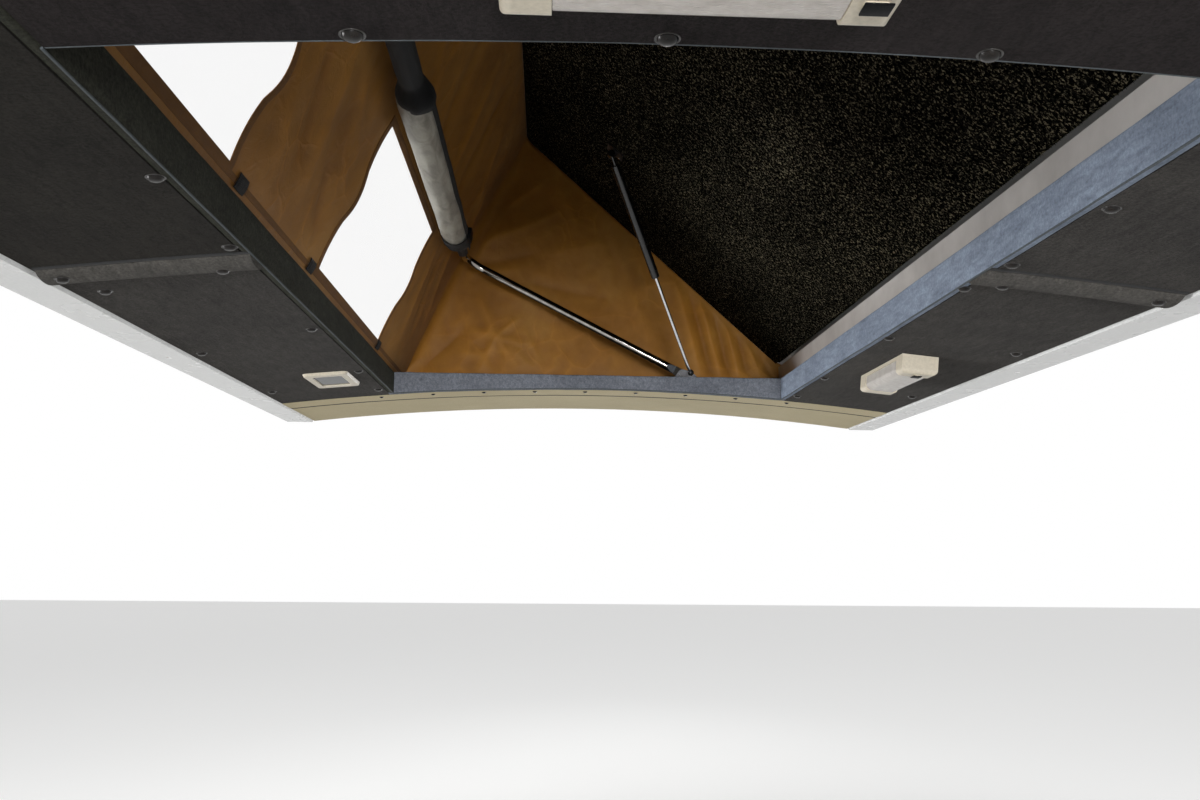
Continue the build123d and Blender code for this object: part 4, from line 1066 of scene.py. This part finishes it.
# Dark piping along the rims' lower edges, where they meet the ceiling
piping = {"radius": 0.0013, "headerRadius": 0.0016, "drop": 0.0006, "waver": 0.0007, "off": 0.0008, "step": 0.014}
lines = []
for sign in (-1, 1):
    rows = []
    for y in evenly(roof["headerEdgeY"], roof["openingY"], piping["step"]):
        waver = piping["waver"] * humAt(y * 10, sign, 2.0)
        middle = (sign * (roof["openingX"] + piping["off"]), y, rimFoot - piping["drop"] + waver)
        rows.append(ovalRow(middle, piping["radius"], piping["radius"]))
    lines.append(tubePiece("sidePiping", rows))
rows = []
for x in evenly(-roof["openingX"], roof["openingX"], piping["step"]):
    waver = piping["waver"] * humAt(x * 10, 7.0, 2.0)
    middle = (x, roof["openingY"] + piping["off"], crownHeight(x) - piping["drop"] + waver)
    rows.append(ovalRow(middle, piping["radius"], piping["radius"], lengthwise=True))
lines.append(tubePiece("frontPiping", rows))
rows = []
for x in evenly(-roof["openingX"] + 0.001, roof["openingX"] - 0.001, piping["step"]):
    waver = 0.5 * piping["waver"] * humAt(x * 10, 9.0, 2.0)
    middle = (x, roof["headerEdgeY"] + 0.0010, crownHeight(x) + 0.0012 + waver)
    rows.append(ovalRow(middle, piping["headerRadius"], piping["headerRadius"], lengthwise=True))
lines.append(tubePiece("headerPiping", rows))
edgePiping = dressed(joined("edgePiping", lines), "linePiping", 80)
fitted(edgePiping, "edgePiping", "roof")

# Puffy strips over the ceiling's joints
strips = {
    "middleY": -0.116,
    "width": 0.062,
    "belly": 0.0085,
    "edge": 0.0016,
    "innerX": 0.4645,
    "outerX": 0.7235,
    "sway": 0.0035,
}


def stripSway(x):
    return strips["sway"] * sin((x - 0.46) * 9)


def stripCorners(x):
    half = strips["width"] / 2
    lower = [(half - 2 * half * index / 8, -0.0004 - strips["edge"] - strips["belly"] * sin(pi * index / 8) ** 0.7)
             for index in range(9)]
    return [(-half, -0.0003), (half, -0.0003), *lower]


for name, node, sign in (("stripLeft", "strip_left", -1), ("stripRight", "strip_right", 1)):
    strip = paddedBoard(
        name, stripCorners, evenly(strips["innerX"], strips["outerX"], 0.007),
        lambda t, a, b: Vector((sign * t, strips["middleY"] + a + stripSway(t), crownHeight(t) + b)),
        radius=0.002, puff=0.001, wrinkle=0.0012, seed=30.0 + sign, step=0.005,
    )
    painted(strip, materials["stripCloth"])
    fitted(strip, name, "roof")
    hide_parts(node)

# The strip across the van in front of the opening; then a dark line in the gap before the headliner, and black
# strips behind the side strips that are painted shadow in their joints with the ceiling
crossStrip = {
    "reach": 0.7275,
    "profile": ((1.0804, 0.0030), (1.1690, 0.0030), (1.1672, -0.0004), (1.1250, -0.0012), (1.0822, -0.0004)),
}
frontStrip = paddedBoard(
    "stripFront",
    lambda x: [(y, crownHeight(x) + rise) for y, rise in crossStrip["profile"]],
    evenly(-crossStrip["reach"], crossStrip["reach"], 0.012),
    lambda t, a, b: Vector((t, a, b)), radius=0.0015, puff=0.0, wrinkle=0.0005, seed=40.0,
)
painted(frontStrip, materials["cabHeadliner"])
fitted(frontStrip, "stripFront", "roof")
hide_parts("strip_front")

gaps = {"reach": 0.7270, "y": 1.1692, "radius": 0.0022, "jointWide": 0.0045, "jointHigh": 0.0018}
rows = [ovalRow((x, gaps["y"], crownHeight(x) + 0.0006), gaps["radius"], gaps["radius"], lengthwise=True)
        for x in evenly(-gaps["reach"], gaps["reach"], 0.014)]
lines = [tubePiece("headlinerGap", rows)]
# black strips behind the side strips: painted shadow in their joints with the ceiling
for sign in (-1, 1):
    rows = []
    for x in evenly(strips["innerX"], strips["outerX"], 0.010):
        y = strips["middleY"] - strips["width"] / 2 - gaps["jointWide"] + stripSway(x)
        rows.append(ovalRow((sign * x, y, crownHeight(x) - 0.0002), gaps["jointWide"], gaps["jointHigh"],
                            lengthwise=True))
    lines.append(tubePiece("jointShadowStrip", rows))
gapLinesAndShadow = dressed(joined("gapLinesAndShadow", lines), "sealRubber", 80)
fitted(gapLinesAndShadow, "gapLinesAndShadow", "roof")
print("strips and piping")


# Trim buttons: a domed cap in a dark ring, modelled once


def domedButton(radius, height, ringGauge):
    cap = disc(20, radius, height, -height / 2)
    editFaces(cap, lambda face: face.normal.z < -0.9)
    bpy.ops.transform.resize(value=(0.86, 0.86, 1))
    bpy.ops.mesh.extrude_region_move(TRANSFORM_OT_translate={"value": (0, 0, -height * 0.34)})
    bpy.ops.transform.resize(value=(0.74, 0.74, 1))
    bpy.ops.mesh.extrude_region_move(TRANSFORM_OT_translate={"value": (0, 0, -height * 0.2)})
    bpy.ops.transform.resize(value=(0.5, 0.5, 1))
    doneEditing()
    smooth(cap, 60)
    painted(cap, materials["buttonCap"])
    ring = disc(20, radius * 1.22, ringGauge, -ringGauge / 2)
    editFaces(ring, lambda face: face.normal.z < -0.9)
    bpy.ops.mesh.inset(thickness=radius * 0.16)
    bpy.ops.mesh.extrude_region_move(TRANSFORM_OT_translate={"value": (0, 0, ringGauge * 0.5)})
    doneEditing()
    applyModifier(ring, "BEVEL", width=ringGauge * 0.3, segments=2, limit_method="ANGLE", angle_limit=radians(40))
    smooth(ring, 50)
    painted(ring, materials["buttonRing"])
    button = joined("button", [cap, ring])
    settle(button)
    return button


def ceilingSeat(x, y, drop=0.0):
    # a place on the ceiling's face, standing square to its crown
    tilt = Matrix.Rotation(atan2(x, roof["crownRadius"]), 4, "Y")
    return Matrix.Translation((x, y, crownHeight(x) - drop)) @ tilt


buttons = {
    "large": (0.0082, 0.0034, 0.0010),
    "small": (0.0050, 0.0022, 0.0007),
    # x, y and how far below the ceiling's face, in millimetres
    "largeAt": inMetres((
        (-471, -420, 0), (-471, -178, 0), (-509, -108, 8.8), (-690, -20, 0), (-480, 306, 0), (-707, 430, 0),
        (-478, 730, 0), (-690, -450, 0), (-700, -122, 8.8), (-478, 985, 0), (-705, 900, 0), (480, -400, 0),
        (474, -176, 0), (500, -108, 8.8), (463, -50, 0), (470, 293, 0), (471, 720, 0), (700, -122, 8.8),
        (700, 300, 0), (700, 820, 0), (476, 985, 0), (700, -450, 0), (-239, -698, 0), (-8, -698, 0),
        (235, -698, 0),
    )),
    "smallAt": inMetres((x, 1102, 0.8) for x in (-498, -375, -253, -130, -8, 115, 237, 360, 486)),
}
for name, sizes, places in (("ceilingButtons", buttons["large"], buttons["largeAt"]),
                            ("frontStuds", buttons["small"], buttons["smallAt"])):
    master = domedButton(*sizes)
    placed = []
    for x, y, drop in places:
        inward = 0.009 if name == "ceilingButtons" and abs(abs(x) - 0.475) < 0.016 and y > -0.7 else 0.0
        placed.append(copied(master, ceilingSeat(x + (inward if x > 0 else -inward), y, drop - 0.0004)))
    bpy.data.objects.remove(master)
    row = joined(name, placed)
    fitted(row, name, "roof")
print("buttons:", len(buttons["largeAt"]) + len(buttons["smallAt"]))


# Canvas tabs over the rim's lip: black webbing, folded over and stitched


def foldedTab(size, gauge):
    length, height = size
    tab = block((gauge, length, height))
    editFaces(tab, lambda face: abs(face.normal.z) < 0.5 and abs(face.normal.x) > 0.9)
    bpy.ops.mesh.select_all(action="SELECT")
    bpy.ops.mesh.subdivide(number_cuts=5)
    doneEditing()
    for vertex in tab.data.vertices:
        up = vertex.co.z / height
        vertex.co.x += 0.0012 * cos(up * pi) - 0.0004 * cos(vertex.co.y / length * pi)
    editFaces(tab, lambda face: face.normal.x > 0.6 and abs(face.calc_center_median().z) < height * 0.36
              and abs(face.calc_center_median().y) < length * 0.36)
    bpy.ops.mesh.inset(thickness=0.0007)
    bpy.ops.transform.translate(value=(gauge * 0.35, 0, 0))
    doneEditing()
    applyModifier(tab, "BEVEL", width=0.0004, segments=2, limit_method="ANGLE", angle_limit=radians(50))
    smooth(tab, 50)
    choose(tab)
    bpy.ops.object.mode_set(mode="EDIT")
    bpy.ops.mesh.select_all(action="SELECT")
    bpy.ops.uv.cube_project(cube_size=1.0)
    doneEditing()
    tab.data.uv_layers[0].name = "cloth"
    painted(tab, materials["blackWebbing"])
    return tab


tabs = {"size": (0.034, 0.020), "gauge": 0.0016, "at": (-0.186, 0.191, 0.844), "height": 0.0235}
master = foldedTab(tabs["size"], tabs["gauge"])
placed = []
for y in tabs["at"]:
    (x, z), (outX, outZ) = sidePlace(tabs["height"])
    lean = atan2(-outX, -outZ)
    seat = Matrix.Translation((x - outX * 0.0030, y, z - outZ * 0.0030)) @ Matrix.Rotation(lean - pi / 2, 4, "Y")
    placed.append(copied(master, seat))
bpy.data.objects.remove(master)
canvasTabs = joined("canvasTabs", placed)
fitted(canvasTabs, "canvasTabs", "roof")

# The frame's pale lip that shows over the left rim
lip = {"x": -0.4779, "z": 0.0826, "wide": 0.0023, "high": 0.0013, "halfLength": 1.268}
rows = [ovalRow((lip["x"], y, lip["z"] + 0.0003 * humAt(y * 8, 0.0, 6.0)), lip["wide"], lip["high"], 8)
        for y in evenly(-lip["halfLength"], lip["halfLength"], 0.02)]
rimLip = dressed(tubePiece("rimLip", rows), "rimLip", 80)
fitted(rimLip, "rimLip", "roof")


# Lamps: ribbed covers and dark rocker switches

lamps = {
    "side": {"x": 0.572, "y": 0.530, "turn": 90.0, "halfAcross": 0.033},
    "rear": {"x": 0.0, "y": -0.820, "turn": 180.0, "halfAcross": 0.1275},
    "window": 0.187,
    "width": 0.0618,
    "depth": 0.0262,
    "base": 0.0064,
    "ribs": 24,
    "corner": 0.013,
    "switchAt": 0.1105,
}


def lampSeat(lamp):
    radius = roof["crownRadius"] - roof["ceilingDrop"]
    down = Vector((-lamp["x"] / radius, 0, -sqrt(1 - (lamp["x"] / radius) ** 2)))
    along = Vector((cos(radians(lamp["turn"])), sin(radians(lamp["turn"])), 0))
    along = (along - down * along.dot(down)).normalized()
    across = down.cross(along)
    stand = 0.0003 + lamp["halfAcross"] ** 2 / 12.0
    place = Vector((lamp["x"], lamp["y"], crownHeight(lamp["x"]))) + down * stand
    return Matrix.Translation(place) @ Matrix((along, across, down)).transposed().to_4x4()


def ribbedCover():
    size = (lamps["window"] - 0.0006, lamps["width"], lamps["depth"])
    cover = block(size, (0, 0, lamps["base"] + size[2] / 2))
    farSide = lamps["base"] + size[2]
    editEdges(cover, lambda edge: all(abs(vertex.co.z - farSide) < 1e-5 for vertex in edge.verts)
              and abs(edge.verts[0].co.x - edge.verts[1].co.x) > 0.1)
    bpy.ops.mesh.bevel(offset=lamps["corner"], segments=7, profile=0.5)
    doneEditing()
    editEdges(cover, lambda edge: all(abs(vertex.co.z - farSide) < 1e-4 for vertex in edge.verts)
              and abs(edge.verts[0].co.x - edge.verts[1].co.x) < 1e-5)
    bpy.ops.mesh.subdivide(number_cuts=lamps["ribs"] - 9)
    doneEditing()
    editFaces(cover, lambda face: abs(face.normal.x) < 0.1 and face.normal.z > 0.02)
    bpy.ops.mesh.inset(thickness=0.0004, use_individual=True, depth=0.0007)
    doneEditing()
    smooth(cover, 25)
    painted(cover, materials["clearDiffuser"])
    return cover


def rockerSwitch():
    rocker = block((0.0190, 0.0150, 0.0014), (-lamps["switchAt"] + 0.0005, 0, 0.0368))
    editFaces(rocker, lambda face: face.normal.z > 0.9)
    bpy.ops.mesh.inset(thickness=0.0008)
    bpy.ops.transform.translate(value=(0, 0, 0.0003))
    doneEditing()
    applyModifier(rocker, "BEVEL", width=0.0004, segments=2, limit_method="ANGLE", angle_limit=radians(35))
    smooth(rocker, 40)
    painted(rocker, materials["switchRocker"])
    return rocker


for name, node in (("side", "side_lamp_lens"), ("rear", "rear_lamp_lens")):
    seat = lampSeat(lamps[name])
    cover = ribbedCover()
    settle(cover, seat)
    fitted(cover, name + "LampCover", "roof")
    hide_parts(node)
    rocker = rockerSwitch()
    settle(rocker, seat)
    fitted(rocker, name + "LampSwitch", "roof")
print("lamps and tabs")


# Blind rolls, centre sleeve, straps and boots on the hoop

rolls = {
    "bar": (-0.308, 0.3725),
    "centre": (-0.3062, 0.3517),
    "radius": 0.0290,
    "inner": {-1: 0.2205, 1: 0.1010},
    "outer": 0.8300,
    "sleeveRadius": 0.0192,
    "coverFrom": -26.0,
    "coverTo": 150.0,
    "coverRadius": 0.0291,
    "bootEnd": 1.043,
}
barX, barZ = rolls["bar"]
rollX, rollZ = rolls["centre"]


def softTube(name, stations, centre, radius, finish, points=44, seed=0.0, wrinkle=0.0007):
    # a closed fabric tube along Y; centre(y) and radius(y, angle) shape it
    rows, uv = [], []
    for y in stations:
        row, uvRow = [], []
        middleX, middleZ = centre(y)
        for index in range(points):
            angle = 2 * pi * index / points
            streak = humAt(cos(angle) * 2.2, y * 5.5, sin(angle) * 2.2 + seed)
            crease = humAt(cos(angle) * 5 + seed, y * 26, sin(angle) * 5)
            out = radius(y, angle) + wrinkle * streak + 0.5 * wrinkle * crease
            row.append(Vector((middleX + out * cos(angle), y, middleZ + out * sin(angle))))
            uvRow.append((y, angle * 0.03))
        rows.append(row)
        uv.append(uvRow)
    return dressed(tubePiece(name, rows, uv), finish, 55)


def swelling(y, height, at, halfWidth):
    return height * exp(-(((abs(y) - at) / halfWidth) ** 2))


def rollRadius(y, angle):
    inner = rolls["inner"][1 if y > 0 else -1]
    span = ease((abs(y) - inner) / 0.012) * ease((rolls["outer"] - abs(y)) / 0.020)
    turn = (angle / (2 * pi) + 0.16) % 1.0
    step = 0.0011 * turn
    nip = swelling(y, 0.0016, 0.806, 0.008) + swelling(y, 0.0012, inner + 0.015, 0.006)
    return rolls["radius"] - 0.0022 + 0.0016 * span + step - nip


rollPieces = []
for sign in (-1, 1):
    stations = sorted(sign * y for y in evenly(rolls["inner"][sign], rolls["outer"], 0.008))
    rollPieces.append(softTube("blindRoll", stations, lambda y: (rollX, rollZ), rollRadius, "silverBlind",
                               seed=50.0 + sign, wrinkle=0.0011))
blindRolls = joined("blindRolls", rollPieces)
fitted(blindRolls, "blindRolls", "hoop")
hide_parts("blind_rolls")

# A black flap over the back of each roll: partly the roll's real black flap, partly painted shade on its unlit
# side
flapsAndShade = []
for sign in (-1, 1):
    rows, uv = [], []
    for y in evenly(rolls["inner"][sign] + 0.002, rolls["outer"] + 0.001, 0.010):
        row, uvRow = [], []
        start = rolls["coverFrom"] + 7 * humAt(y * 7, sign, 3.0)
        stop = rolls["coverTo"] + 6 * humAt(y * 6, sign, 9.0)
        for index in range(27):
            angle = radians(start + (stop - start) * index / 26)
            out = rolls["coverRadius"] + 0.0006 * humAt(angle * 2.4, y * 16, sign)
            row.append(Vector((rollX + out * cos(angle), sign * y, rollZ + out * sin(angle))))
            uvRow.append((y, angle * 0.03))
        rows.append(row)
        uv.append(uvRow)
    flapsAndShade.append(gridPiece("rollFlapAndShade", rows, uv=uv))
rollFlapsAndShade = dressed(joined("rollFlapsAndShade", flapsAndShade), "blackCover", 50, 0.0009)
fitted(rollFlapsAndShade, "rollFlapsAndShade", "hoop")

def sleeveEnd(y):
    # 0 in the sleeve's middle, 1 where it laps over a roll's end
    return ease((y - rolls["inner"][1] + 0.040) / 0.036) + ease((-y - rolls["inner"][-1] + 0.040) / 0.036)


def sleeveRadius(y, angle):
    flare = sleeveEnd(y)
    lump = 0.0080 * flare * max(0.0, cos(angle + 0.47)) ** 2
    gathers = 0.0008 * sin(7 * angle + 60 * y) * flare
    return rolls["sleeveRadius"] + 0.0084 * flare + lump + gathers


sleeve = softTube(
    "hoopSleeve", evenly(-rolls["inner"][-1] - 0.004, rolls["inner"][1] + 0.006, 0.006),
    lambda y: (rollX + 0.0008, rollZ + 0.0080 * (1 - sleeveEnd(y))), sleeveRadius,
    "blackCover", seed=61.0, wrinkle=0.0016,
)
fitted(sleeve, "hoopSleeve", "hoop")
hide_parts("hoop_sleeve")


# Swellings and nips: height, place along the bar, half width
bootForm = {
    "wide": 0.0288,
    "narrow": 0.0118,
    "widest": 0.0296,
    "bendFrom": 0.850,
    "bulge": (0.0020, 0.858, 0.013),
    "nip": (0.0030, 0.890, 0.007),
    "lump": (0.0060, 0.868, 0.022),
    "pleats": 0.0012,
}


def bootCentre(y):
    share = ease((abs(y) - bootForm["bendFrom"]) / (rolls["bootEnd"] - bootForm["bendFrom"]))
    return rollX + (barX - rollX) * share, rollZ + (barZ - rollZ) * share


def bootRadius(y, angle):
    # a gathered cap with a drawn cord, then a pleated point
    run = (abs(y) - rolls["outer"]) / (rolls["bootEnd"] - rolls["outer"])
    taper = min(1.0, (0.16 * run + 0.84 * ease(run * 1.25)))
    body = bootForm["wide"] + (bootForm["narrow"] - bootForm["wide"]) * taper
    bulge = swelling(y, *bootForm["bulge"])
    nip = swelling(y, *bootForm["nip"])
    pleats = bootForm["pleats"] * sin(9 * angle + 3 * run) * ease(run / 0.25) * (1 - 0.6 * run)
    lump = swelling(y, *bootForm["lump"]) * max(0.0, cos(angle - 0.10)) ** 3
    return min(bootForm["widest"] + lump, body + bulge + lump) - nip + pleats


boots = []
for sign in (-1, 1):
    stations = sorted(sign * y for y in evenly(rolls["outer"] + 0.0012, rolls["bootEnd"], 0.0045))
    boots.append(softTube("boot", stations, bootCentre, bootRadius, "blackCover", points=54, seed=70.0 + sign,
                          wrinkle=0.0009))
rollBoots = joined("rollBoots", boots)
fitted(rollBoots, "rollBoots", "hoop")
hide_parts("hoop_boots")

# Straps round the rolls, each a webbing loop with a buckle and a loose tail
straps = {
    "width": 0.022,
    "radius": 0.0304,
    "gauge": 0.0012,
    "at": (-0.8180, -0.2440, 0.8180),
    "buckleAngle": -8.0,
    "buckle": (0.0090, 0.040, 0.026),
    "tail": 0.030,
}


def rollStrap(y, radius, buckleAngle):
    rows, uv = [], []
    for share in (-0.5, -0.25, 0.0, 0.25, 0.5):
        row, uvRow = [], []
        for index in range(48):
            angle = 2 * pi * index / 48
            wave = 0.0004 * sin(3 * angle + y * 40)
            row.append(Vector((rollX + (radius + wave) * cos(angle), y + straps["width"] * share,
                               rollZ + (radius + wave) * sin(angle))))
            uvRow.append((angle * radius, share * straps["width"]))
        rows.append(row)
        uv.append(uvRow)
    loop = gridPiece("strapLoop", rows, closed=True, uv=uv)
    tailRows, tailUv = [], []
    base = radians(buckleAngle)
    for index in range(10):
        run = straps["tail"] * index / 9
        drop = Vector((cos(base), 0, sin(base))) * (radius + 0.0016 + 0.0030 * sin(run * 60))
        down = Vector((sin(base) * 0.35 - 0.05, 0, -1.0)).normalized() * run
        middle = Vector((rollX, y + 0.0015 * sin(run * 90), rollZ)) + drop + down
        tailRows.append([middle + Vector((0, straps["width"] * 0.8 * share, 0)) for share in (-0.5, 0.0, 0.5)])
        tailUv.append([(run, share * 0.02) for share in (-0.5, 0.0, 0.5)])
    tail = gridPiece("strapTail", tailRows, uv=tailUv)
    strap = dressed(joined("strap", [loop, tail]), "blackWebbing", 50, straps["gauge"])
    buckle = block(straps["buckle"])
    editFaces(buckle, lambda face: face.normal.x > 0.9)
    bpy.ops.mesh.inset(thickness=0.004)
    bpy.ops.transform.translate(value=(-0.0022, 0, 0))
    doneEditing()
    applyModifier(buckle, "BEVEL", width=0.0016, segments=3, limit_method="ANGLE", angle_limit=radians(40))
    smooth(buckle, 40)
    painted(buckle, materials["switchRocker"])
    place = Vector((rollX + cos(base) * (radius + 0.0022), y, rollZ + sin(base) * (radius + 0.0022)))
    settle(buckle, Matrix.Translation(place) @ Matrix.Rotation(-base, 4, "Y"))
    return strap, buckle


strapParts, buckleParts = [], []
for y in straps["at"]:
    strap, buckle = rollStrap(y, straps["radius"], straps["buckleAngle"])
    strapParts.append(strap)
    buckleParts.append(buckle)
rollStraps = joined("rollStraps", strapParts)
fitted(rollStraps, "rollStraps", "hoop")
strapBuckles = joined("strapBuckles", buckleParts)
fitted(strapBuckles, "strapBuckles", "hoop")
print("rolls, boots and straps")


# Carpet: a turned-over edge and a fuzzy fringe along the board's hinge side

fringe = {"tufts": 1300, "clearEnd": 0.030, "length": 0.0036, "foot": 0.0011, "wrap": 0.0046}


def tuft(points, faces, base, along, outward, length, foot):
    start = len(points)
    side = along.normalized() * foot
    normal = along.cross(outward).normalized() * foot * 0.7
    points += [base - side, base + side, base + normal, base + outward.normalized() * length]
    faces += [(start, start + 2, start + 1), (start, start + 1, start + 3), (start + 1, start + 2, start + 3),
              (start + 2, start, start + 3)]


points, faces = [], []
boardLow = lid["boardLow"]
rows = []
for y in evenly(-roof["frameY"] + fringe["clearEnd"], roof["frameY"] - fringe["clearEnd"], 0.012):
    lumpy = fringe["wrap"] * (1 + 0.07 * humAt(y * 30, 0.0, 4.0))
    rows.append(ovalRow((lid["boardRight"], y, boardLow + 0.0034), lumpy, lumpy, 12))
carpetWrap = dressed(tubePiece("carpetWrap", rows), "lidCarpet", 60)
settle(carpetWrap, lidTurn)
fitted(carpetWrap, "carpetWrap", "lid")
start = Vector((lid["boardRight"] + 0.0030, -roof["frameY"] + fringe["clearEnd"], boardLow + 0.0010))
reach = 2 * (roof["frameY"] - fringe["clearEnd"])
for index in range(fringe["tufts"]):
    place = index * 0.618
    shift = humAt(place, 0.0, 0.0) * 0.002
    lean = humAt(place + 5, 0.0, 0.0) * 0.9
    tall = fringe["length"] * (0.55 + 0.9 * abs(humAt(place, 9.0, 0.0)))
    base = start + Vector((0, reach * (index + 0.5) / fringe["tufts"] + shift, 0))
    tuft(points, faces, base, Vector((0, 1, 0)), Vector((1, lean, -0.35)), tall, fringe["foot"])
mesh = bpy.data.meshes.new("carpetFringe")
mesh.from_pydata(points, [], faces)
carpetFringe = linked("carpetFringe", mesh)
faceOut(carpetFringe)
painted(carpetFringe, materials["lidCarpet"])
settle(carpetFringe, lidTurn)
fitted(carpetFringe, "carpetFringe", "lid")
print("carpet fringe:", len(faces), "faces")


# Screws on the clamps, hinges, brackets and mounts, modelled once


def panScrew(radius, height):
    screw = disc(16, radius, height, height / 2)
    editFaces(screw, lambda face: face.normal.z > 0.9)
    bpy.ops.mesh.inset(thickness=radius * 0.28)
    bpy.ops.transform.translate(value=(0, 0, height * 0.35))
    bpy.ops.mesh.inset(thickness=radius * 0.42)
    bpy.ops.mesh.extrude_region_move(TRANSFORM_OT_translate={"value": (0, 0, -height * 0.7)})
    doneEditing()
    smooth(screw, 35)
    painted(screw, materials["screwHead"])
    return screw


def facingSeat(place, direction):
    turn = Vector(direction).normalized().to_track_quat("Z", "Y").to_matrix().to_4x4()
    return Matrix.Translation(place) @ turn


screws = {
    "radius": 0.0042,
    "height": 0.0022,
    "clampReach": 1.20,
    "clampPitch": 0.150,
    "sideClampZ": 0.0710,
    "endClampZ": 0.0880,
    "bracketX": (0.232 - 0.024, 0.268),
    "bracketAt": (1.1235, 0.0833),
    "hingeY": (-1.0, 0.0, 1.0),
    "hingePitch": 0.052,
    "hingeSteps": (-1.75, -0.6, 0.6, 1.75),
    "lowLeaf": (0.5470, 0.1100),
    "highLeaf": (0.5530, 0.1405),
    "mountX": (-0.126, -0.098),
    "mountAt": (0.8585, 0.1097),
}
clampLow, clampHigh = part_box("canvas_clamp")
roofSeats = [facingSeat((clampLow.x, y, screws["sideClampZ"]), (-1, 0, 0))
             for y in evenly(-screws["clampReach"], screws["clampReach"], screws["clampPitch"])]
lidSeats = []
for sign in (-1, 1):
    for x in evenly(-0.42, 0.48, screws["clampPitch"]):
        roofSeats.append(facingSeat((x, sign * clampHigh.y, screws["endClampZ"]), (0, sign, 0)))
    for x in screws["bracketX"]:
        y, z = screws["bracketAt"]
        roofSeats.append(facingSeat((x, sign * y, z), (0, 0, 1)))
    for x in screws["mountX"]:
        y, z = screws["mountAt"]
        lidSeats.append(facingSeat((x, sign * y, z), (0, 0, -1)))
for seats, (x, z), side in ((roofSeats, screws["lowLeaf"], 1), (lidSeats, screws["highLeaf"], -1)):
    seats += [facingSeat((x, y + step * screws["hingePitch"], z), (side, 0, 0))
              for y in screws["hingeY"] for step in screws["hingeSteps"]]
master = panScrew(screws["radius"], screws["height"])
roofScrews = joined("roofScrews", [copied(master, seat) for seat in roofSeats])
fitted(roofScrews, "roofScrews", "roof")
lidScrews = joined("lidScrews", [copied(master, lidTurn @ seat) for seat in lidSeats])
fitted(lidScrews, "lidScrews", "lid")
bpy.data.objects.remove(master)
print("screws:", len(roofSeats) + len(lidSeats))


# Floor, daylight and camera

stage = {"floor": -1.15, "reach": 14.0, "floorTone": (0.80, 0.80, 0.79), "floorGlow": 0.42, "skyLight": 0.26}


def seenRay(tree):
    # 1 for what the camera sees straight, in a shine or through a clear piece
    path = tree.nodes.new("ShaderNodeLightPath")
    seen = path.outputs["Is Camera Ray"]
    for kind in ("Is Glossy Ray", "Is Transmission Ray"):
        either = tree.nodes.new("ShaderNodeMath")
        either.operation = "MAXIMUM"
        tree.links.new(seen, either.inputs[0])
        tree.links.new(path.outputs[kind], either.inputs[1])
        seen = either.outputs["Value"]
    return seen


bpy.ops.mesh.primitive_plane_add(size=2 * stage["reach"], location=(0, 0, stage["floor"]))
floor = bpy.context.view_layer.objects.active
floor.name = "floor"
material = bpy.data.materials.new("paleFloor")
material.use_nodes = True
tree = material.node_tree
shader = tree.nodes["Principled BSDF"]
shader.inputs["Base Color"].default_value = (*stage["floorTone"], 1)
shader.inputs["Roughness"].default_value = 0.9
shader.inputs["Emission Color"].default_value = (1, 1, 1, 1)
tree.links.new(spread(tree, seenRay(tree), 0.0, stage["floorGlow"]), shader.inputs["Emission Strength"])
floor.data.materials.append(material)

world = bpy.data.worlds.new("daylight")
bpy.context.scene.world = world
world.use_nodes = True
tree = world.node_tree
backdrop = tree.nodes["Background"]
tree.links.new(spread(tree, seenRay(tree), stage["skyLight"], 1.0), backdrop.inputs["Strength"])
backdrop.inputs["Color"].default_value = (1, 1, 1, 1)

# Place, aim, size, power and how far the beam opens
softLights = {
    "leftDaylight": ((-4.6, 0.8, -0.55), (0.45, 0.40, 0.10), 2.4, 24, 50),
    "rearDaylight": ((0.3, -5.4, -0.72), (0.0, 1.25, 0.16), 1.3, 14, 40),
    "frontFill": ((0.5, 5.6, 0.9), (0.0, 0.6, 0.3), 2.6, 16, 60),
    "skyPanel": ((-2.4, -1.8, 4.6), (0.0, 0.0, 0.2), 4.0, 60, 90),
}
for name, (place, target, size, power, opening) in softLights.items():
    lamp = bpy.data.lights.new(name, "AREA")
    lamp.shape = "DISK"
    lamp.size = size
    lamp.energy = power
    lamp.spread = radians(opening)
    holder = bpy.data.objects.new(name, lamp)
    bpy.context.scene.collection.objects.link(holder)
    holder.location = place
    holder.rotation_euler = (Vector(target) - Vector(place)).to_track_quat("-Z", "Y").to_euler()
    holder.visible_camera = False

camera = {"place": (-0.0897, -1.4305, -0.3251), "yaw": 2.67, "pitch": 7.91, "roll": 0.54, "lens": 31.59}
yaw, pitch, roll = (radians(camera[key]) for key in ("yaw", "pitch", "roll"))
forward = Vector((sin(yaw) * cos(pitch), cos(yaw) * cos(pitch), sin(pitch)))
level = Vector((cos(yaw), -sin(yaw), 0))
upright = level.cross(forward)
right = level * cos(roll) + upright * sin(roll)
upward = upright * cos(roll) - level * sin(roll)
view = bpy.data.cameras.new("viewCamera")
view.lens = camera["lens"]
view.sensor_width = 36
view.clip_start = 0.02
viewer = bpy.data.objects.new("viewCamera", view)
bpy.context.scene.collection.objects.link(viewer)
viewer.matrix_world = Matrix.Translation(camera["place"]) @ Matrix((right, upward, -forward)).transposed().to_4x4()
bpy.context.scene.camera = viewer
bpy.context.scene.view_settings.view_transform = "Standard"

# Walls, bindings and panes each get a mesh of their own
for piece in (canvasWalls, canvasBindings, windowPanes):
    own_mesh(piece)

clearChoice()
